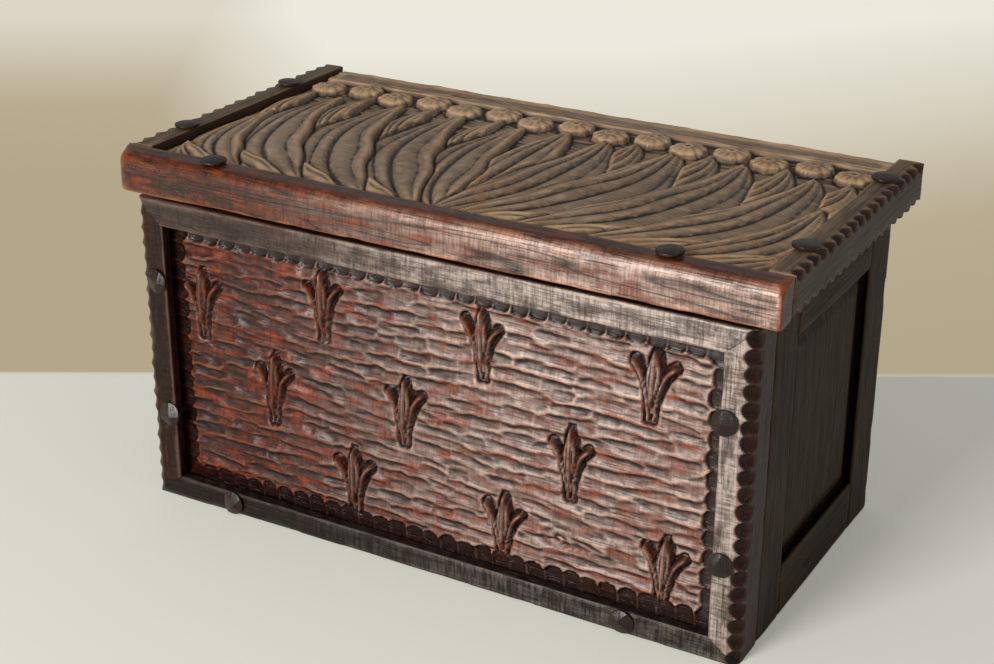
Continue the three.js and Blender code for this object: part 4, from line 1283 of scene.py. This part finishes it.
def section_height(q, section_shares):
    """The height across a leaf, from one edge at -1 to the other at 1, with its corners eased."""
    across, rise = np.array(section_shares).T
    height = 0.5 * np.interp(q, across, rise)
    for shift in (-FOLD_EASE, FOLD_EASE):
        height += 0.25 * np.interp(q + shift, across, rise)
    return height


def trench_below(height, edge, deep):
    """Cuts a steep-sided outline round a form, no deeper than the ground."""
    trench = np.clip(1 - np.maximum(edge, 0) / LEAF_OUTLINE, 0, 1) ** 0.7
    return np.maximum(height - deep * trench, -LEAF_GROUND)


def carve_leaf(x, y, height, ends, wide, section_shares, seed):
    """One leaf over what is carved so far: ends are its root, its bend and its tip."""
    window = near(x, y, ends, 1.4 * wide)
    share, aside, past = along_bend(x[window], y[window], *ends)
    lobe = 0.95 - 0.05 * np.cos(math.tau * (2.6 * share + 0.29 * np.sign(aside) + 0.3 * seed))
    swell = TIP_SHARE + (1 - TIP_SHARE) * np.sin(np.pi * share ** SWELL_POWER) ** 0.85
    half = wide * swell * lobe
    q = aside / half
    far = np.abs(q)
    edge = np.maximum(np.abs(aside) - half, past)
    flutes = np.where(q > 0, HIGH_SIDE_FLUTES, LOW_SIDE_FLUTES)
    bent = far + 0.05 * np.sin(math.tau * (1.7 * share + 0.37 * seed + 0.5 * (q > 0)))
    pillow = np.abs(np.sin(np.pi * flutes * bent)) ** 0.7
    body = section_height(q, section_shares)
    body -= FLUTE_SHARE * (1 - pillow) * np.clip(1.15 - far, 0, 1) ** 0.3
    body -= 0.16 * np.exp(-(q / 0.06) ** 2) + 0.3 * np.clip((far - 0.86) / 0.14, 0, 1) ** 2
    top = LEAF_RELIEF * (RISE_SHARE + (1 - RISE_SHARE) * swell) * np.clip(body, 0.05, 1)
    height[window] = np.where(edge < 0, top, trench_below(height[window], edge, LEAF_CUT))


def carve_seed_head(x, y, height, centre, turn):
    """A domed round head with nine ribs, a crown and a small pit."""
    window = near(x, y, [centre], SEED_RADIUS + LEAF_OUTLINE)
    dx, dy = x[window] - centre[0], y[window] - centre[1]
    far = np.hypot(dx, dy) / SEED_RADIUS
    lobes = np.abs(np.cos(SEED_RIBS / 2 * (np.arctan2(dy, dx) + turn)))
    edge = SEED_RADIUS * (far - 0.88 - 0.12 * lobes ** 0.5)
    dome = np.sqrt(np.clip(1 - (far / 1.08) ** 2, 0, 1))
    ribs = 0.14 * (1 - lobes ** 0.7) * np.clip((far - 0.25) * 3, 0, 1)
    crown = 0.16 * np.exp(-((far - 0.24) / 0.07) ** 2) - 0.12 * np.exp(-(far / 0.12) ** 2)
    top = SEED_SHARE * LEAF_RELIEF * (0.35 + 0.6 * dome - ribs + crown)
    height[window] = np.where(edge < 0, top, trench_below(height[window], edge, SEED_CUT))


# %% Lid panel
LID_CELL = 0.00075
LID_ROWS = 42
LID_STROKE = {"long": 0.014, "wide": 0.0026, "deep": 0.0007, "ragged": 0}
LID_GRAIN = {"length": 0.0018, "stretch": 4, "height": 0.00005}
LID_WEAR = {"fine": 0.0004, "wide": 0.00045}
SEED_COUNT = 15
SEED_ROW = 0.83
SEED_SWAY = 0.014
BAND_WIDTH = 0.017
BAND_HEIGHT = 0.0024
BAND_SLOPE = 0.0018
BAND_WAVER = {"length": 0.03, "stretch": 1, "height": 0.0012}


def carve_lid():
    """The height of the lid panel above its ground over its whole width."""
    front = nosing_high.y + SEAT_GAP
    depth = lid_back - front
    x, y = grid_places(-panel_right, panel_right, front, lid_back, LID_CELL)
    low, high = (-panel_right, front), (panel_right, lid_back)
    height = gouge_ground(x, y, low, high, LID_ROWS, 0, 0, LID_STROKE, 11)
    band = lid_back - BAND_WIDTH - raised_grain(x, y, BAND_WAVER, 6)
    height = height + BAND_HEIGHT * smooth_step((y - band) / BAND_SLOPE)

    def place(across, up):
        """A place on the panel from its two shares."""
        return np.array((across * panel_right, front + up * depth))

    def add_leaf(shares, side, section_shares, seed):
        """Carves a leaf from its shares, on one side of the middle."""
        root_x, root_y, bend_x, bend_y, tip_x, tip_y, width = shares
        ends = [place(side * root_x, root_y), place(side * bend_x, bend_y), place(side * tip_x, tip_y)]
        carve_leaf(x, y, height, np.array(ends), width * depth, section_shares, seed)

    mirrored_shares = [(-across, rise) for across, rise in reversed(fold_section_shares)]
    add_leaf(middle_leaf_shares, 1, even_section_shares, 99)
    for number, shares in enumerate(leaf_shares):
        add_leaf(shares, -1, fold_section_shares, number - 0.3)
        add_leaf(shares, 1, mirrored_shares, number + 0.3)
    for number in range(SEED_COUNT):
        up = SEED_ROW + (SEED_SWAY if number % 2 else -SEED_SWAY)
        carve_seed_head(x, y, height, place((2 * number + 1) / SEED_COUNT - 1, up), number)
    height += raised_grain(x, y, LID_GRAIN, 12)
    return x, y, np.minimum(height, LEAF_RELIEF)


def panel_tongue():
    """The tongue that holds the panel in the battens and the nosing, let into the board."""
    reach = panel_right + TONGUE_LENGTH - SEAT_GAP
    return block(
        "tongue", (-reach, nosing_high.y - TONGUE_LENGTH + SEAT_GAP, tongue_low),
        (reach, batten_high.y - SEAT_GAP, tongue_low + TONGUE_THICKNESS))


def lid_panel():
    """The carved board with its tongue."""
    x, y, height = carve_lid()
    piece = board_grid("carved_lid_panel", *x.shape)
    shape_board(piece, (x, y, panel_top + height))
    give_thickness(piece, (0, 0, lid_under - panel_top), (1, 1, 0), (0, 0, lid_under))
    mark_wear(piece, **LID_WEAR)
    tongue = panel_tongue()
    select_only(piece)
    tongue.select_set(True)
    bpy.ops.object.join()
    finish_piece(piece, "lid", "lid_panel", lid_oak)
    clean_plain_faces(piece, "worn")
    return piece


print("lid panel faces:", len(lid_panel().data.polygons))

# %% [markdown]
# The sides, the back and the bottom are plain joinery whose solids already have the right shape,
# with their grooves, tenons and the fielded panel. So each is a copy of its own solid, merged into
# one skin, remeshed finely enough to be planed by hand, and worn at its arrises.

# %% Sides, back and bottom
SIDE_VOXEL = 0.0011
BOARD_VOXEL = 0.0015
SIDE_WAVES = ((0.03, 0.0005), (0.009, 0.0002))
SIDE_CHIPS = 0.0006
MERGE_DISTANCE = 0.000002


def copy_of(node, name):
    """A copy of a node's mesh as one merged skin."""
    piece = bpy.data.objects.new(name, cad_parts[node].data.copy())
    bpy.context.scene.collection.objects.link(piece)
    with editing(piece):
        bpy.ops.mesh.remove_doubles(threshold=MERGE_DISTANCE)
    return piece


def worn_copy(node, voxel, grain, material, seed):
    """A planed and worn copy of a node's solid."""
    piece = copy_of(node, "worn_" + node)
    work_wood(piece, voxel, grain, seed, SIDE_WAVES, SIDE_CHIPS)
    finish_piece(piece, "chest", node, material)
    return piece


faces = 0
for number, word in enumerate(("left", "right")):
    for place, grain, material in (
            ("front_stile", ALONG_Z, side_stile_oak), ("back_stile", ALONG_Z, side_stile_oak),
            ("top_rail", ALONG_Y, side_rail_oak), ("bottom_rail", ALONG_Y, side_rail_oak),
            ("panel", ALONG_Z, side_stile_oak)):
        piece = worn_copy(word + "_side_" + place, SIDE_VOXEL, grain, material, 70 + number)
        faces += len(piece.data.polygons)
for number, node in enumerate(("back_board", "bottom_board")):
    piece = worn_copy(node, BOARD_VOXEL, ALONG_X, plain_oak, 80 + number)
    faces += len(piece.data.polygons)
print("faces of the sides and boards:", faces)

# %% [markdown]
# The pegs are whittled: a round head whose top is cut to a few facets that meet off its middle. A
# cylinder is cut by slanting planes with bisect, one for each facet, exactly as the knife does it,
# then its edges are eased. One peg of each kind is modelled, and each place gets its own turned copy.

# %% Pegs
PEG_SIDES = 32
FACET_SWAY = 0.2
PEG_EASE = {"width": 0.00022, "segments": 3, "angle": 14}
PEG_SMOOTH = 30
LOOKS_DOWN = -0.9
FRONT_PEG = {
    "head": 0.006, "height": 0.0026, "shank": 0.003, "length": 0.0397,
    "facets": 4, "drop": 0.0021, "apex": (0.0012, -0.0008)}
LID_PEG = {
    "head": 0.0062, "height": 0.0019, "shank": 0.0025, "length": 0.0157,
    "facets": 7, "drop": 0.0007, "apex": (0.0012, 0.0008)}
BACK_PEG = {
    "head": 0.003, "height": 0.0004, "shank": 0.0024, "length": 0.0187,
    "facets": 3, "drop": 0.0001, "apex": (0, 0)}


def ease_edges(piece, width, segments, angle):
    """Rounds the edges that are sharper than an angle."""
    limit = {"limit_method": "ANGLE", "angle_limit": math.radians(angle)}
    apply_modifier(piece, "BEVEL", width=width, segments=segments, **limit)


def shade_by_angle(piece, angle):
    """Shades a piece smooth but for the edges that are sharper than an angle."""
    select_only(piece)
    bpy.ops.object.shade_smooth_by_angle(angle=math.radians(angle))


def select_underside(piece):
    """In edit mode, selects the faces that look straight down."""
    select_where(piece, "faces", lambda face: face.normal.z < LOOKS_DOWN)


def peg(name, head, height, shank, length, facets, drop, apex):
    """A peg that stands up from the origin, with its shank below: drop is how far a facet falls
    from the apex to the rim."""
    bpy.ops.object.select_all(action="DESELECT")
    bpy.ops.mesh.primitive_cylinder_add(
        vertices=PEG_SIDES, radius=head, depth=height, location=(0, 0, SEAT_GAP + height / 2))
    piece = bpy.context.object
    piece.name = name
    put_in_place(piece)
    for number in range(facets):
        angle = math.tau * (number + FACET_SWAY * math.sin(3.0 * number)) / facets
        normal = Vector((math.cos(angle) * drop / head, math.sin(angle) * drop / head, 1))
        slice_off(piece, (*apex, SEAT_GAP + height), normal)
    with editing(piece, "FACE", False):
        select_underside(piece)
        bpy.ops.mesh.inset(thickness=head - shank)
        bpy.ops.mesh.extrude_region_move(TRANSFORM_OT_translate={"value": (0, 0, -length)})
    ease_edges(piece, **PEG_EASE)
    return piece


def place_copy(model, node, outward, turn, body, material):
    """Gives a node its own copy of a model that stands up from the origin."""
    low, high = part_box(node)
    at = (low + high) / 2
    for axis in range(3):
        if outward[axis]:
            at[axis] = high[axis] if outward[axis] > 0 else low[axis]
    top = max(point.co.z for point in model.data.vertices)
    piece = bpy.data.objects.new("fine_" + node, model.data.copy())
    bpy.context.scene.collection.objects.link(piece)
    piece.location = at - outward * top
    piece.rotation_euler = outward.to_track_quat("Z", "Y").to_euler()
    piece.rotation_euler.rotate_axis("Z", turn)
    put_in_place(piece)
    finish_piece(piece, body, node, material)
    shade_by_angle(piece, PEG_SMOOTH)
    return piece


peg_kinds = (
    (("front_peg", "bottom_peg"), peg("front_peg_model", **FRONT_PEG), FRONT, "chest"),
    ("lid_peg", peg("lid_peg_model", **LID_PEG), UP, "lid"),
    ("back_peg", peg("back_peg_model", **BACK_PEG), BACK, "chest"))
chance = random.Random(9)
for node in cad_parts:
    for start, model, outward, body in peg_kinds:
        if node.startswith(start):
            place_copy(model, node, outward, chance.uniform(0, math.tau), body, peg_oak)
for _, model, _, _ in peg_kinds:
    bpy.data.objects.remove(model)
print("pegs done")

# %% [markdown]
# The hinges are forged iron: leaves with knuckles, a pin and slotted screws. The leaves and pins
# are copies of their solids with eased edges, and the screw is modelled from a cone, because its
# slot and countersink are what shows.

# %% Iron
RUST_SPOT = 0.004
PIT_SPOT = RUST_SPOT / 8
PITTING = 0.0002
IRON_BLACK, RUST_DARK, RUST_PALE = "2b2a29", "2a1a12", "5a3a26"


def forged_iron():
    """Black iron with brown rust in patches and a pitted face."""
    material = bpy.data.materials.new("forged_iron")
    material.use_nodes = True
    tree = material.node_tree
    shader = tree.nodes["Principled BSDF"]
    spots = object_places(tree, [1 / RUST_SPOT] * 3)
    rust = spread(tree, noise(tree, spots, 5.0, 0.65, 0.5), 0.48, 0.66)
    fine = noise(tree, object_places(tree, [1 / PIT_SPOT] * 3), 3.0, 0.6)
    brown = ramp(tree, fine, [(0.3, tint(RUST_DARK)), (0.7, tint(RUST_PALE))])
    colour = blend(tree, rust, tint(IRON_BLACK), brown)
    tree.links.new(colour, shader.inputs["Base Color"])
    tree.links.new(spread(tree, rust, 0.0, 1.0, 0.85, 0.1), shader.inputs["Metallic"])
    tree.links.new(spread(tree, rust, 0.0, 1.0, 0.42, 0.85), shader.inputs["Roughness"])
    height = maths(tree, "ADD", fine, rust)
    bump = add(tree, "Bump", {"Strength": 0.5, "Distance": PITTING, "Height": height})
    tree.links.new(bump.outputs["Normal"], shader.inputs["Normal"])
    return material


iron = forged_iron()

# %% Hinges
IRON_EASE = {"width": 0.0002, "segments": 2, "angle": 40}
IRON_SMOOTH = 35
FLAT_BELOW = 2
SCREW = {"head": 0.0024, "shank": 0.0012, "sink": 0.001, "length": 0.009, "slot": 0.0006}
SCREW_SIDES = 28
SCREW_EASE = {"width": 0.0001, "segments": 2, "angle": 30}


def eased_copy(node, body):
    """A copy of an iron solid with its flat faces made whole and its edges eased."""
    piece = copy_of(node, "fine_" + node)
    with editing(piece):
        bpy.ops.mesh.dissolve_limited(angle_limit=math.radians(FLAT_BELOW))
    ease_edges(piece, **IRON_EASE)
    finish_piece(piece, body, node, iron)
    shade_by_angle(piece, IRON_SMOOTH)


def screw_model():
    """A countersunk screw with its head up at the origin."""
    bpy.ops.object.select_all(action="DESELECT")
    bpy.ops.mesh.primitive_cone_add(
        vertices=SCREW_SIDES, radius1=SCREW["shank"], radius2=SCREW["head"], depth=SCREW["sink"],
        location=(0, 0, -SCREW["sink"] / 2))
    piece = put_in_place(bpy.context.object)
    piece.name = "screw_model"
    with editing(piece, "FACE", False):
        select_underside(piece)
        shaft = SCREW["length"] - SCREW["sink"]
        bpy.ops.mesh.extrude_region_move(TRANSFORM_OT_translate={"value": (0, 0, -shaft)})
    half, wide, deep = SCREW["slot"] / 2, SCREW["head"] + OVERRUN, SCREW["slot"]
    cut(piece, block("slot", (-wide, -half, -deep), (wide, half, OVERRUN)))
    ease_edges(piece, **SCREW_EASE)
    return piece


screw = screw_model()
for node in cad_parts:
    if node.startswith("hinge_screw"):
        outward, body = (BACK, "chest") if "_body_" in node else (DOWN, "lid")
        place_copy(screw, node, outward, chance.uniform(0, math.tau), body, iron)
    elif node.startswith("hinge"):
        eased_copy(node, "lid" if "_lid_" in node else "chest")
bpy.data.objects.remove(screw)
print("hinges done")
